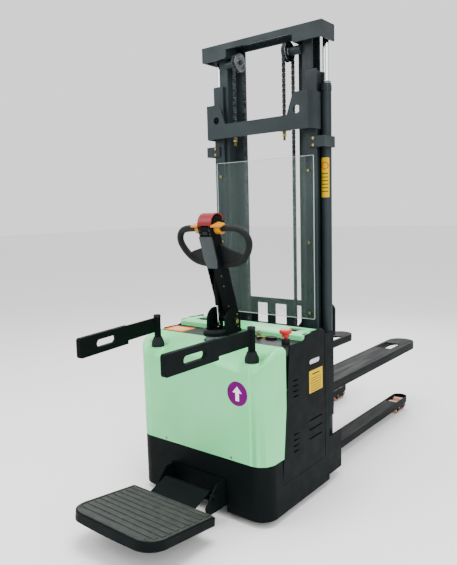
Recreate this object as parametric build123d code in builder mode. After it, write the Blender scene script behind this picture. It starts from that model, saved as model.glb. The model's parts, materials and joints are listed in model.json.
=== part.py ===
"""Ride-on pallet stacker with a duplex mast, straddle legs, a folding platform and two guard arms.

Millimetres. +X is the operator's right, +Y points at the fork tips and +Z is up. The origin is on the
floor, in the middle of the machine's length and width. The mast stands partly raised, as stored.
"""
from build123d import *
from math import cos, radians, sin
import os

os.makedirs("parts", exist_ok=True)

# ---- overall layout -------------------------------------------------------------------------------
fork_reach = 1450.0          # mast head's front plane to the fork tips
platform_reach = 1158.0      # mast head's front plane to the platform's outer edge
mast_y = (platform_reach - fork_reach) / 2
fit_gap = 0.3                # gap between faces of pieces that move past each other
shaft_gap = 0.05             # radial running clearance of a shaft in its bore

# ---- body covers ----------------------------------------------------------------------------------
body_half = 407.0            # half width over the covers
cover_front = mast_y - 568
cover_wall = 4.0
corner_radius = 85.0
seam_z = 297.0               # seam between green cover and black skirt
cover_back = mast_y - 395    # top rear edge of the green cover
cover_top_z = 820.0
cover_slope = 24.0           # fall of the cover's top towards the operator, degrees
cover_edge_radius = 24.0
side_seam_top = mast_y - 360
side_seam_foot = mast_y - 421
skirt_bottom_z = 30.0
panel_foot_z = 171.0
panel_back = mast_y - 34
panel_wall = 4.0
deck_z = 818.0
deck_thick = 6.0
lid_front = mast_y - 235
lid_back = mast_y - 34
lid_top_z = 850.0
lid_wall = 5.0

# ---- chassis --------------------------------------------------------------------------------------
chassis_half = body_half - 9.0
plate = 10.0                 # chassis plate thickness
front_face_y = cover_front + cover_wall + fit_gap
front_plate_y = front_face_y + plate
deck_plate_z = 245.0         # underside of the plate that carries drive unit and castors
deck_plate_top = deck_plate_z + plate
tray_z = 60.0
step_y = mast_y - 235
beam_y = (mast_y + 30, mast_y + 160)
beam_z = (47.0, 93.0)
pillar_top_z = deck_z
pillar_back = mast_y + 62

# ---- legs and load rollers ------------------------------------------------------------------------
leg_x = (191.0, 289.0)
leg_tip = mast_y + 1400
leg_wall = 6.0
roller_slot_start = mast_y + 1195
load_roller_radius = 41.0
load_roller_y = (mast_y + 1250, mast_y + 1338)
load_axle_radius = 10.0
cheek = 6.0

# ---- mast -----------------------------------------------------------------------------------------
outer_flange_x = (263.0, 330.0)
outer_web_x = (303.0, 311.0)
outer_y = (mast_y + 31, mast_y + 153)
outer_flange = 14.0
outer_top_z = 2138.0
inner_web_x = (240.0, 250.0)
inner_flange_out = 298.0
inner_flange_in = 173.0
inner_y = (mast_y + 49, mast_y + 135)
inner_flange = 12.0
inner_foot_z = 290.0
head_half = 381.0
head_top_z = 2353.0
head_depth = 129.0
head_wall = 10.0
cap_inner_x = 211.0
cap_height = 80.0
lip_height = 34.0
cylinder_x = 342.0
cylinder_y = mast_y + 111
barrel_radius = 27.0
barrel_top_z = 2071.0
rod_radius = 17.0
rod_foot_z = 671.0
cross_z = (1843.0, 2025.0)
cross_front = mast_y - 40
cross_wall = 8.0
cross_band_z = 1918.0
cross_hole_x = 258.0
cross_hole_z = 1941.0
screen_half = 316.0
screen_z = (873.0, 1717.0)
screen_thick = 6.0
screen_bolt_x = 286.0
clamp_z = (1754.0, 1809.0)
clamp_bolt_x = 318.0
clamp_bolt_z = (1765.0, 1798.0)

# ---- chains and pulleys ---------------------------------------------------------------------------
chain_x = 159.0
chain_width = 18.0
chain_thick = 11.0
pulley_y = mast_y + 47.5
pulley_z = 2247.0
pulley_radius = 38.5
pulley_rim = 50.0
pulley_width = 24.0
pulley_axle = 12.5
anchor_z = 1862.0

# ---- carriage, forks and backrest -----------------------------------------------------------------
carriage_plate_x = (150.0, 168.0)
carriage_z = (500.0, 760.0)
carriage_bar_y = (mast_y + 157, mast_y + 182)
carriage_roller_radius = 30.0
carriage_roller_x = (192.0, 222.0)
fork_x = (151.0, 329.0)
fork_top_z = 494.0
fork_depth = 50.0
fork_wall = 8.0
heel_y = (mast_y + 182, mast_y + 205)
fork_tip_y = mast_y + fork_reach
fork_hole_x = (172.0, 275.0)
fork_hole_y = (mast_y + 1100, mast_y + 1262)
backrest_half = 349.0
backrest_z = (765.0, 940.0)
backrest_bar = 54.0
backrest_bar_x = (65.0, 190.0)
backrest_thick = 10.0

# ---- drive unit, steering and tiller --------------------------------------------------------------
steer_y = mast_y - 405
drive_wheel_radius = 115.0
drive_wheel_width = 75.0
turntable_radius = 128.0
motor_radius = 72.0
neck_radius = 52.0
flange_z = (838.0, 854.0)
flange_radius = 62.0
ear_x = (52.0, 62.0)
ear_radius = 61.0
ear_centre = (mast_y - 339, 903.0)
pivot_y = mast_y - 318
pivot_z = 898.0
pivot_radius = 9.0
tiller_lean = 17.9           # degrees from upright, towards the operator
arm_half = 42.0
arm_depth = 60.0
arm_wall = 4.0
head_axis = (56.0, 497.0)    # axis of the rounded head, in the tiller's own plane
handle_axis = (44.0, 478.0)
handle_radius = 17.0

# ---- castors --------------------------------------------------------------------------------------
castor_x = 280.0
castor_y = steer_y
castor_trail = 30.0
castor_radius = 62.5
castor_width = 38.0
kingpin_radius = 12.0

# ---- guard arms -----------------------------------------------------------------------------------
post_x = 300.0
post_y = mast_y - 512
post_radius = 18.0
post_top_z = 928.0
post_foot_z = 600.0
socket_top_z = 700.0
boot_z = 768.0
arm_z = (842.0, 915.0)
grip_z = (828.0, 918.0)
grip_start = 245.0
arm_reach = 566.0
left_arm_swing = 8.5         # degrees the left arm stands folded inwards

# ---- platform -------------------------------------------------------------------------------------
platform_axis_y = mast_y - 650
platform_axis_z = 135.0
platform_tilt = 7.4
platform_half = 262.0
platform_near = 102.0
tray_depth = 39.0
platform_drop = 28.0         # mat surface below the hinge axis
mat_thick = 6.0
platform_pin_radius = 10.0
hinge_tube_radius = 22.0
hinge_half = 143.0
bracket_half = 170.0
bracket_wall = 8.0


def block(x, y, z, mode=Mode.ADD):
    """A box given by its spans along X, Y and Z."""
    with Locations(((x[0] + x[1]) / 2, (y[0] + y[1]) / 2, (z[0] + z[1]) / 2)):
        Box(abs(x[1] - x[0]), abs(y[1] - y[0]), abs(z[1] - z[0]), mode=mode)


def rod(start, end, radius, mode=Mode.ADD):
    """A cylinder from one point to another."""
    axis = Vector(*end) - Vector(*start)
    with Locations(Plane(origin=start, z_dir=axis).location):
        Cylinder(radius, axis.length, align=(Align.CENTER, Align.CENTER, Align.MIN), mode=mode)


def prism(plane, points, depth, mode=Mode.ADD):
    """A straight-sided outline on a plane, extruded along the plane's normal."""
    with BuildSketch(plane, mode=Mode.PRIVATE) as outline:
        with BuildLine():
            Polyline(*points, close=True)
        make_face()
    extrude(outline.sketch, amount=depth, mode=mode)


def side_plane(x):
    """A plane at the given X whose local axes are the machine's Y and Z."""
    return Plane(origin=(x, 0, 0), x_dir=(0, 1, 0), z_dir=(1, 0, 0))


def body_plan(inset, back):
    """The covers' outline in plan: flat front, rounded front corners, straight sides."""
    half = body_half - inset
    with BuildSketch(mode=Mode.PRIVATE) as plan:
        with Locations((0, (cover_front + inset + back) / 2)):
            Rectangle(2 * half, back - cover_front - inset)
        fillet(plan.vertices().group_by(Axis.Y)[0], corner_radius - inset)
    return plan.sketch


# ---- chassis frame --------------------------------------------------------------------------------
with BuildPart() as chassis_frame:
    deck_outline = body_plan(body_half - chassis_half, step_y)
    extrude(Plane.XY.offset(deck_plate_z) * deck_outline, amount=plate)
    block((-chassis_half, chassis_half), (step_y - plate, step_y), (tray_z, deck_plate_z))
    block((-chassis_half, chassis_half), (step_y - plate, beam_y[0]), (tray_z, tray_z + plate))
    block((-chassis_half, chassis_half), beam_y, beam_z)
    front_half = chassis_half - corner_radius
    block((-front_half, front_half), (front_face_y, front_plate_y), (tray_z, seam_z - plate))
    for sign in (-1, 1):
        wall_x = (sign * (chassis_half - plate), sign * chassis_half)
        block(wall_x, (cover_front + corner_radius + plate, beam_y[1]), (tray_z, deck_plate_top))
        block(wall_x, (cover_back + 15, step_y), (deck_plate_z, deck_z - deck_thick))
        block(wall_x, (step_y, pillar_back), (deck_plate_z, 267))
        block(wall_x, (step_y, mast_y + 12), (267, 372))
        block(wall_x, (step_y, pillar_back), (372, pillar_top_z))
        rib_x = (sign * (chassis_half - plate), sign * (body_half - 1))
        block(rib_x, (panel_back + 4, mast_y + 12), (tray_z, pillar_top_z))
        block(rib_x, (mast_y + 12, pillar_back), (84, 262))
        block(rib_x, (mast_y + 12, pillar_back), (372, pillar_top_z))
        rod((sign * post_x, post_y, deck_plate_top), (sign * post_x, post_y, socket_top_z), 30)
        bore_foot = (sign * post_x, post_y, post_foot_z)
        rod(bore_foot, (sign * post_x, post_y, socket_top_z), post_radius + shaft_gap, Mode.SUBTRACT)
        kingpin_foot = (sign * castor_x, castor_y, deck_plate_z)
        kingpin_head = (sign * castor_x, castor_y, deck_plate_top)
        rod(kingpin_foot, kingpin_head, kingpin_radius + shaft_gap, Mode.SUBTRACT)
    turntable_hole = (0, steer_y, deck_plate_z)
    rod(turntable_hole, (0, steer_y, deck_plate_top), turntable_radius + fit_gap, Mode.SUBTRACT)
chassis_frame.part.label = "chassis_frame"
export_step(chassis_frame.part, "parts/chassis_frame.step")

# ---- support legs and their roller axles ----------------------------------------------------------
leg_mid = (leg_x[0] + leg_x[1]) / 2
leg_half = (leg_x[1] - leg_x[0]) / 2
cheek_y = (load_roller_y[0] - 30, load_roller_y[1] + 20)


def leg_outline(inset, start):
    """A leg in plan: straight sides and a half-round tip."""
    with BuildSketch(mode=Mode.PRIVATE) as plan:
        with Locations((leg_mid, (start + leg_tip - inset) / 2)):
            Rectangle(2 * (leg_half - inset), leg_tip - inset - start)
        fillet(plan.vertices().group_by(Axis.Y)[-1], leg_half - inset - 1)
    return plan.sketch


def support_leg(sign):
    with BuildPart() as leg:
        extrude(Plane.XY.offset(beam_z[0]) * leg_outline(0, beam_y[1]), amount=beam_z[1] - beam_z[0])
        slot = Plane.XY.offset(beam_z[0]) * leg_outline(leg_wall, roller_slot_start)
        extrude(slot, amount=beam_z[1] - beam_z[0], mode=Mode.SUBTRACT)
        hollow_x = (leg_x[0] + leg_wall, leg_x[1] - leg_wall)
        hollow_y = (beam_y[1] + leg_wall, roller_slot_start - leg_wall)
        block(hollow_x, hollow_y, (beam_z[0], beam_z[1] - leg_wall), Mode.SUBTRACT)
        for wall_x in ((hollow_x[0], hollow_x[0] + cheek), (hollow_x[1] - cheek, hollow_x[1])):
            block(wall_x, cheek_y, (24, beam_z[1] - 5))
        for roller_y in load_roller_y:
            start = (leg_x[0], roller_y, load_roller_radius)
            rod(start, (leg_x[1], roller_y, load_roller_radius), load_axle_radius + shaft_gap, Mode.SUBTRACT)
        tip_cut = ((leg_tip - 70, beam_z[0]), (leg_tip, beam_z[0] + 20), (leg_tip, beam_z[0] - 1))
        prism(side_plane(leg_x[0]), tip_cut, 2 * leg_half, Mode.SUBTRACT)
        if sign < 0:
            mirror(about=Plane.YZ, mode=Mode.REPLACE)
    return leg.part


for side, sign in (("left", -1), ("right", 1)):
    leg_part = support_leg(sign)
    leg_part.label = f"support_leg_{side}"
    export_step(leg_part, f"parts/support_leg_{side}.step")

with BuildPart() as load_roller_axles:
    for sign in (-1, 1):
        for roller_y in load_roller_y:
            near = (sign * (leg_x[0] + leg_wall), roller_y, load_roller_radius)
            rod(near, (sign * (leg_x[1] - leg_wall), roller_y, load_roller_radius), load_axle_radius)
load_roller_axles.part.label = "load_roller_axles"
export_step(load_roller_axles.part, "parts/load_roller_axles.step")

for row, roller_y in (("rear", load_roller_y[0]), ("front", load_roller_y[1])):
    with BuildPart() as load_rollers:
        for sign in (-1, 1):
            near = leg_x[0] + leg_wall + cheek + 3
            far = leg_x[1] - leg_wall - cheek - 3
            start = (sign * near, roller_y, load_roller_radius)
            end = (sign * far, roller_y, load_roller_radius)
            rod(start, end, load_roller_radius)
            rod(start, end, load_axle_radius + shaft_gap, Mode.SUBTRACT)
        rims = load_rollers.edges().filter_by(GeomType.CIRCLE)
        rims = rims.filter_by(lambda e: e.radius > load_axle_radius + 1)
        chamfer(rims, 2)
    load_rollers.part.label = f"load_rollers_{row}"
    export_step(load_rollers.part, f"parts/load_rollers_{row}.step")

# ---- black skirt ----------------------------------------------------------------------------------
skirt_back = pillar_back - 50
cutout_half = bracket_half + 6
cutout_top = 197.0
with BuildPart() as skirt:
    extrude(Plane.XY.offset(skirt_bottom_z) * body_plan(0, skirt_back), amount=seam_z - skirt_bottom_z)
    inner_plan = Plane.XY.offset(skirt_bottom_z) * body_plan(cover_wall, skirt_back)
    extrude(inner_plan, amount=seam_z - skirt_bottom_z, mode=Mode.SUBTRACT)
    side_box_y = (side_seam_foot - 12, skirt_back)
    block((-body_half, body_half), side_box_y, (panel_foot_z, seam_z), Mode.SUBTRACT)
    block((-body_half, body_half), (panel_back + 4, skirt_back), (tray_z, seam_z), Mode.SUBTRACT)
    bracket_gap = (cover_front, cover_front + corner_radius)
    block((-cutout_half, cutout_half), bracket_gap, (skirt_bottom_z, cutout_top), Mode.SUBTRACT)
skirt.part.label = "skirt"
export_step(skirt.part, "parts/skirt.step")

# ---- green front cover ----------------------------------------------------------------------------
slope = radians(cover_slope)


def cover_solid(inset):
    """The cover as a solid: the plan cut off by the sloping top and the slanted rear seam."""
    top = cover_top_z - inset / cos(slope)
    front_top = top - (cover_back - cover_front) * sin(slope) / cos(slope)
    with BuildPart() as solid:
        extrude(Plane.XY.offset(seam_z) * body_plan(inset, cover_back), amount=top - seam_z)
        above = ((cover_front - 10, front_top - 10 * sin(slope) / cos(slope)), (cover_back + 1, top + 0.4))
        wedge = (*above, (cover_back + 1, top + 90), (cover_front - 10, top + 90))
        prism(side_plane(-body_half), wedge, 2 * body_half, Mode.SUBTRACT)
        top_face = solid.faces().sort_by(Axis.Z)[-1]
        rims = top_face.edges().filter_by(lambda e: e.center().Y < cover_back - 1)
        fillet(rims, cover_edge_radius - inset)
    return solid.part


with BuildPart() as front_cover:
    add(cover_solid(0))
    add(cover_solid(cover_wall), mode=Mode.SUBTRACT)
    block((cover_wall - body_half, body_half - cover_wall), (side_seam_foot, cover_back),
          (seam_z, cover_top_z - 60), Mode.SUBTRACT)
    behind_seam = ((side_seam_foot, seam_z), (cover_back, (seam_z + cover_top_z) / 2 - 20),
                   (cover_back + 1, seam_z))
    prism(side_plane(-body_half), behind_seam, 2 * body_half, Mode.SUBTRACT)
    for sign in (-1, 1):
        rod((sign * post_x, post_y, boot_z - 40), (sign * post_x, post_y, cover_top_z), 46, Mode.SUBTRACT)
    rod((0, steer_y, cover_top_z - 30), (0, steer_y, cover_top_z + 9), neck_radius + 8, Mode.SUBTRACT)
front_cover.part.label = "front_cover"
export_step(front_cover.part, "parts/front_cover.step")

# ---- side panels ----------------------------------------------------------------------------------
panel_outline = (
    (side_seam_foot - 12, panel_foot_z), (panel_back, panel_foot_z), (panel_back, 838),
    (mast_y - 68, 847), (mast_y - 158, 851), (mast_y - 200, 845), (mast_y - 222, 829),
    (mast_y - 246, 822), (side_seam_top, cover_top_z + 4), (side_seam_foot + 0.5, seam_z),
)
slot_rows = ((mast_y - 310, 46, (566, 592, 618, 644)), (mast_y - 310, 46, (296, 324, 352, 380)))
wide_slots = (312, 359, 406)
handle_slot_y = (mast_y - 182, mast_y - 82)
handle_slot_z = 702.0


def side_panel(sign):
    with BuildPart() as panel:
        start = min(sign * body_half, sign * (body_half - panel_wall))
        prism(side_plane(start), panel_outline, panel_wall)
        flange_x = (sign * (chassis_half + fit_gap), sign * body_half)
        block(flange_x, (mast_y - 150, mast_y - 60), (panel_foot_z, panel_foot_z + 20))
        for centre_y, width, heights in slot_rows:
            for height in heights:
                slot_x = (sign * (body_half - panel_wall), sign * body_half)
                slot_y = (centre_y - width / 2, centre_y + width / 2)
                block(slot_x, slot_y, (height, height + 8), Mode.SUBTRACT)
        for height in wide_slots:
            block((sign * (body_half - panel_wall), sign * body_half), (mast_y - 188, mast_y - 66),
                  (height, height + 14), Mode.SUBTRACT)
        middle = (sign * (body_half - panel_wall), (handle_slot_y[0] + handle_slot_y[1]) / 2, handle_slot_z)
        grip_plane = Plane(origin=middle, x_dir=(0, 1, 0), z_dir=(sign, 0, 0))
        with BuildSketch(grip_plane, mode=Mode.PRIVATE) as grip:
            SlotOverall(handle_slot_y[1] - handle_slot_y[0], 24)
        extrude(grip.sketch, amount=panel_wall, mode=Mode.SUBTRACT)
    return panel.part


for side, sign in (("left", -1), ("right", 1)):
    panel_part = side_panel(sign)
    panel_part.label = f"side_panel_{side}"
    export_step(panel_part, f"parts/side_panel_{side}.step")

# ---- control deck and what stands on it -----------------------------------------------------------
deck_half = body_half - panel_wall - fit_gap
stop_at = (360.0, mast_y - 322)
key_at = (182.0, mast_y - 288)
gauge_at = (243.0, mast_y - 272)
key_hole = 9.0
with BuildPart() as control_deck:
    block((-deck_half, deck_half), (cover_back + fit_gap, lid_front - fit_gap), (deck_z - deck_thick, deck_z))
    for sign in (-1, 1):
        edge_x = (sign * (deck_half - 4), sign * deck_half)
        block(edge_x, (cover_back + fit_gap, lid_front - fit_gap), (deck_z - 40, deck_z - deck_thick))
    rod((0, steer_y, deck_z - 10), (0, steer_y, deck_z + 1), neck_radius + 8, Mode.SUBTRACT)
    rod((*key_at, deck_z - 10), (*key_at, deck_z + 1), 14, Mode.SUBTRACT)
control_deck.part.label = "control_deck"
export_step(control_deck.part, "parts/control_deck.step")

stop_stem = 9.0
stop_travel = 6.0
with BuildPart() as dash_fittings:
    rod((*stop_at, deck_z), (*stop_at, deck_z + 26), 20)
    rod((*stop_at, deck_z + 4), (*stop_at, deck_z + 26), stop_stem + shaft_gap, Mode.SUBTRACT)
    rod((*key_at, deck_z - 16), (*key_at, deck_z + 9), 13)
    rod((*key_at, deck_z - 12), (*key_at, deck_z + 9), key_hole + shaft_gap, Mode.SUBTRACT)
    with BuildSketch(Plane.XY.offset(deck_z)):
        with Locations(gauge_at):
            SlotOverall(62, 34)
    extrude(amount=12)
    with BuildSketch(Plane.XY.offset(deck_z + 9)):
        with Locations(gauge_at):
            SlotOverall(48, 20)
    extrude(amount=3, mode=Mode.SUBTRACT)
dash_fittings.part.label = "dash_fittings"
export_step(dash_fittings.part, "parts/dash_fittings.step")

with BuildPart() as stop_button:
    rod((*stop_at, deck_z + 10), (*stop_at, deck_z + 44), stop_stem)
    rod((*stop_at, deck_z + 26 + stop_travel + 2), (*stop_at, deck_z + 50), 18)
    rod((*stop_at, deck_z + 50), (*stop_at, deck_z + 70), 30)
    rim = stop_button.edges().filter_by(GeomType.CIRCLE).filter_by(lambda e: e.radius > 29)
    fillet(rim, 8)
stop_button.part.label = "stop_button"
export_step(stop_button.part, "parts/stop_button.step")

with BuildPart() as key:
    rod((*key_at, deck_z - 10), (*key_at, deck_z + 10), key_hole)
    with BuildSketch(Plane(origin=(key_at[0], key_at[1] - 1.5, 0), x_dir=(1, 0, 0), z_dir=(0, 1, 0))):
        with Locations((0, -(deck_z + 26))):
            Ellipse(12, 14)
        with Locations((0, -(deck_z + 12))):
            Rectangle(9, 12)
        with Locations((0, -(deck_z + 31))):
            Circle(3, mode=Mode.SUBTRACT)
    extrude(amount=3)
key.part.label = "key"
export_step(key.part, "parts/key.step")

# ---- battery lid ----------------------------------------------------------------------------------
lid_half = body_half - panel_wall - 1.0
lid_foot_z = deck_z + fit_gap
pocket_x = (255.0, 330.0)
pocket_y = (mast_y - 185, mast_y - 95)
with BuildPart() as battery_lid:
    lid_side = ((lid_front, lid_foot_z), (lid_front, lid_top_z - 8), (lid_front + 12, lid_top_z - 2),
                (lid_front + 60, lid_top_z), (lid_back - 40, lid_top_z - 4), (lid_back, lid_top_z - 12),
                (lid_back, lid_foot_z))
    prism(side_plane(-lid_half), lid_side, 2 * lid_half)
    fillet(battery_lid.edges().filter_by(Axis.Z), 14)
    hollow = (lid_front + lid_wall, lid_back - lid_wall)
    block((lid_wall - lid_half, lid_half - lid_wall), hollow, (lid_foot_z, lid_top_z - 18), Mode.SUBTRACT)
    for sign in (-1, 1):
        pocket = (sign * pocket_x[0], sign * pocket_x[1])
        block(pocket, pocket_y, (lid_top_z - 14, lid_top_z), Mode.SUBTRACT)
battery_lid.part.label = "battery_lid"
export_step(battery_lid.part, "parts/battery_lid.step")

# ---- what the body holds --------------------------------------------------------------------------
tray_top = tray_z + plate
with BuildPart() as battery_pack:
    block((-330, 330), (step_y + 20, mast_y + 10), (tray_top, 620))
    for row_x in (-240, -80, 80, 240):
        for row_y in (mast_y - 155, mast_y - 55):
            rod((row_x, row_y, 620), (row_x, row_y, 640), 18)
battery_pack.part.label = "battery_pack"
export_step(battery_pack.part, "parts/battery_pack.step")

unit_y = (step_y - 130, step_y - 20)
with BuildPart() as power_units:
    block((170, 330), unit_y, (deck_plate_top, 400))
    rod((250, (unit_y[0] + unit_y[1]) / 2, 400), (250, (unit_y[0] + unit_y[1]) / 2, 590), 52)
    block((-350, -170), unit_y, (deck_plate_top, deck_plate_top + 12))
    block((-340, -180), (unit_y[0] + 8, unit_y[1] - 8), (deck_plate_top + 12, 395))
    for rib in range(8):
        rib_x = -330 + 20 * rib
        block((rib_x, rib_x + 6), (unit_y[0] + 8, unit_y[1] - 8), (395, 417))
power_units.part.label = "power_units"
export_step(power_units.part, "parts/power_units.step")

# ---- outer mast -----------------------------------------------------------------------------------
mast_foot_z = beam_z[1]


def outer_channel(sign):
    with BuildPart() as channel:
        span = (sign * outer_flange_x[0], sign * outer_flange_x[1])
        block(span, (outer_y[0], outer_y[0] + outer_flange), (mast_foot_z, outer_top_z))
        block(span, (outer_y[1] - outer_flange, outer_y[1]), (mast_foot_z, outer_top_z))
        block((sign * outer_web_x[0], sign * outer_web_x[1]), outer_y, (mast_foot_z, outer_top_z))
    return channel.part


for side, sign in (("left", -1), ("right", 1)):
    channel_part = outer_channel(sign)
    channel_part.label = f"outer_mast_{side}"
    export_step(channel_part, f"parts/outer_mast_{side}.step")

cross_half = outer_flange_x[1] + cross_wall
cross_chamfer = 15.0
ear_inner_x = 200.0
ear_shoulder_x = 238.0
with BuildPart() as mast_cross_plates:
    with BuildSketch(Plane.XY.offset(cross_z[0])):
        with BuildLine():
            front_corner = cross_half - cross_chamfer
            bend = cross_front + 2 * cross_chamfer
            wall_back = mast_y + 62
            Polyline((-cross_half, wall_back), (-cross_half, bend), (-front_corner, cross_front),
                     (front_corner, cross_front), (cross_half, bend), (cross_half, wall_back))
            offset(amount=cross_wall, side=Side.LEFT, closed=True)
        make_face()
    extrude(amount=cross_z[1] - cross_z[0])
    valley = ((-ear_shoulder_x, cross_z[1]), (-ear_inner_x, cross_band_z), (ear_inner_x, cross_band_z),
              (ear_shoulder_x, cross_z[1]))
    prism(Plane(origin=(0, cross_front + cross_wall + 1, 0), x_dir=(1, 0, 0), z_dir=(0, -1, 0)),
          valley, cross_wall + 2, Mode.SUBTRACT)
    for sign in (-1, 1):
        hole_y = (cross_front - 1, cross_front + cross_wall + 1)
        start = (sign * cross_hole_x, hole_y[0], cross_hole_z)
        rod(start, (sign * cross_hole_x, hole_y[1], cross_hole_z), 20, Mode.SUBTRACT)
        shelf_x = (sign * (chain_x - 30), sign * (chain_x + 30))
        block(shelf_x, (cross_front + cross_wall, mast_y + 20), (anchor_z - 14, anchor_z))
        bolt_foot = (sign * chain_x, mast_y + 3, anchor_z - 14)
        rod(bolt_foot, (sign * chain_x, mast_y + 3, anchor_z), 7 + shaft_gap, Mode.SUBTRACT)
    block((-outer_flange_x[1], outer_flange_x[1]), (outer_y[0] - 12, outer_y[0]), (170, 250))
mast_cross_plates.part.label = "mast_cross_plates"
export_step(mast_cross_plates.part, "parts/mast_cross_plates.step")

pad_thick = inner_y[0] - outer_y[0] - outer_flange - fit_gap
with BuildPart() as mast_slide_pads:
    for sign in (-1, 1):
        pad_x = (sign * 268, sign * 294)
        front_pad = outer_y[0] + outer_flange
        block(pad_x, (front_pad, front_pad + pad_thick), (outer_top_z - 110, outer_top_z - 10))
        rear_pad = outer_y[1] - outer_flange
        block(pad_x, (rear_pad - pad_thick, rear_pad), (outer_top_z - 110, outer_top_z - 10))
mast_slide_pads.part.label = "mast_slide_pads"
export_step(mast_slide_pads.part, "parts/mast_slide_pads.step")

# ---- lift cylinders, rods and clamps --------------------------------------------------------------
for side, sign in (("left", -1), ("right", 1)):
    with BuildPart() as lift_cylinder:
        foot = (sign * cylinder_x, cylinder_y, mast_foot_z)
        rod(foot, (sign * cylinder_x, cylinder_y, barrel_top_z), barrel_radius)
        bore_foot = (sign * cylinder_x, cylinder_y, mast_foot_z + 20)
        bore_top = (sign * cylinder_x, cylinder_y, barrel_top_z)
        rod(bore_foot, bore_top, rod_radius + shaft_gap, Mode.SUBTRACT)
    lift_cylinder.part.label = f"lift_cylinder_{side}"
    export_step(lift_cylinder.part, f"parts/lift_cylinder_{side}.step")

head_ceiling = head_top_z - head_wall
with BuildPart() as piston_rods:
    for sign in (-1, 1):
        start = (sign * cylinder_x, cylinder_y, rod_foot_z)
        rod(start, (sign * cylinder_x, cylinder_y, head_ceiling), rod_radius)
piston_rods.part.label = "piston_rods"
export_step(piston_rods.part, "parts/piston_rods.step")

clamp_outer = cylinder_x + barrel_radius + 12
with BuildPart() as cylinder_clamps:
    for sign in (-1, 1):
        block((sign * 290, sign * clamp_outer), (outer_y[0] - 10, outer_y[0]), clamp_z)
        side_wall = (sign * (clamp_outer - 12 + fit_gap), sign * clamp_outer)
        block(side_wall, (outer_y[0] - 10, cylinder_y + 20), clamp_z)
        for bolt_z in clamp_bolt_z:
            start = (sign * clamp_bolt_x, outer_y[0] - 10, bolt_z)
            rod(start, (sign * clamp_bolt_x, outer_y[0], bolt_z), 5, Mode.SUBTRACT)
cylinder_clamps.part.label = "cylinder_clamps"
export_step(cylinder_clamps.part, "parts/cylinder_clamps.step")

# ---- inner mast -----------------------------------------------------------------------------------
def inner_channel(sign):
    with BuildPart() as channel:
        span_z = (inner_foot_z, head_ceiling)
        front_span = (sign * inner_web_x[0], sign * inner_flange_out)
        block(front_span, (inner_y[0], inner_y[0] + inner_flange), span_z)
        rear_span = (sign * inner_flange_in, sign * inner_flange_out)
        block(rear_span, (inner_y[1] - inner_flange, inner_y[1]), span_z)
        block((sign * inner_web_x[0], sign * inner_web_x[1]), inner_y, span_z)
        head_rim = (mast_y + head_depth - head_wall, inner_y[1])
        lip_x = (sign * inner_flange_in, sign * (cap_inner_x + 1))
        block(lip_x, head_rim, (head_top_z - lip_height, head_top_z), Mode.SUBTRACT)
    return channel.part


for side, sign in (("left", -1), ("right", 1)):
    channel_part = inner_channel(sign)
    channel_part.label = f"inner_mast_{side}"
    export_step(channel_part, f"parts/inner_mast_{side}.step")

lower_tie_y = (inner_y[0] - 12, inner_y[0])
with BuildPart() as inner_mast_ties:
    head_y = (mast_y, mast_y + head_depth)
    block((-head_half, head_half), head_y, (head_ceiling, head_top_z))
    lip_z = (head_top_z - lip_height, head_ceiling)
    block((-cap_inner_x, cap_inner_x), (mast_y, mast_y + head_wall), lip_z)
    block((-cap_inner_x, cap_inner_x), (head_y[1] - head_wall, head_y[1]), lip_z)
    cap_z = (head_top_z - cap_height, head_ceiling)
    for sign in (-1, 1):
        block((sign * cap_inner_x, sign * head_half), (mast_y, mast_y + head_wall), cap_z)
        block((sign * (head_half - head_wall), sign * head_half), head_y, cap_z)
        block((sign * cap_inner_x, sign * (cap_inner_x + head_wall)), (mast_y, mast_y + 100), cap_z)
    low_corners = inner_mast_ties.edges().filter_by(Axis.Y).filter_by(
        lambda e: abs(e.center().Z - cap_z[0]) < 1 and abs(abs(e.center().X) - cap_inner_x) < 1
        and e.length > 90)
    chamfer(low_corners, head_wall - 2)
    block((-inner_web_x[1], inner_web_x[1]), lower_tie_y, (inner_foot_z + 10, inner_foot_z + 90))
    for sign in (-1, 1):
        web = (sign * inner_web_x[0], pulley_y, pulley_z)
        rod((sign * (chain_x - 18), pulley_y, pulley_z), web, pulley_axle)
        rod((sign * (chain_x + pulley_width / 2 + 1), pulley_y, pulley_z), web, 22)
inner_mast_ties.part.label = "inner_mast_ties"
export_step(inner_mast_ties.part, "parts/inner_mast_ties.step")

# ---- pulleys and lift chains ----------------------------------------------------------------------
with BuildPart() as chain_pulleys:
    for sign in (-1, 1):
        near = (sign * (chain_x - pulley_width / 2), pulley_y, pulley_z)
        far = (sign * (chain_x + pulley_width / 2), pulley_y, pulley_z)
        groove = chain_width / 2 + 0.5
        rod(near, far, pulley_rim)
        with Locations(Plane(origin=(sign * chain_x, pulley_y, pulley_z), z_dir=(1, 0, 0)).location):
            Cylinder(pulley_rim + 1, 2 * groove, mode=Mode.SUBTRACT)
            Cylinder(pulley_radius, 2 * groove)
        rod(near, far, pulley_axle + shaft_gap, Mode.SUBTRACT)
chain_pulleys.part.label = "chain_pulleys"
export_step(chain_pulleys.part, "parts/chain_pulleys.step")

wrap_inner = pulley_radius + fit_gap
wrap_outer = wrap_inner + chain_thick
strand_y = (pulley_y - wrap_outer, pulley_y - wrap_inner)
front_strand = (pulley_y - wrap_outer, pulley_y - wrap_inner)
rear_strand = (pulley_y + wrap_inner, pulley_y + wrap_outer)
chain_foot_z = carriage_z[1] + 20
for run, strand_y, foot_z in (("front", front_strand, anchor_z), ("rear", rear_strand, chain_foot_z)):
    with BuildPart() as lift_chains:
        for sign in (-1, 1):
            strand_x = (sign * (chain_x - chain_width / 2), sign * (chain_x + chain_width / 2))
            block(strand_x, strand_y, (foot_z, pulley_z))
    lift_chains.part.label = f"lift_chains_{run}"
    export_step(lift_chains.part, f"parts/lift_chains_{run}.step")

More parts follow.
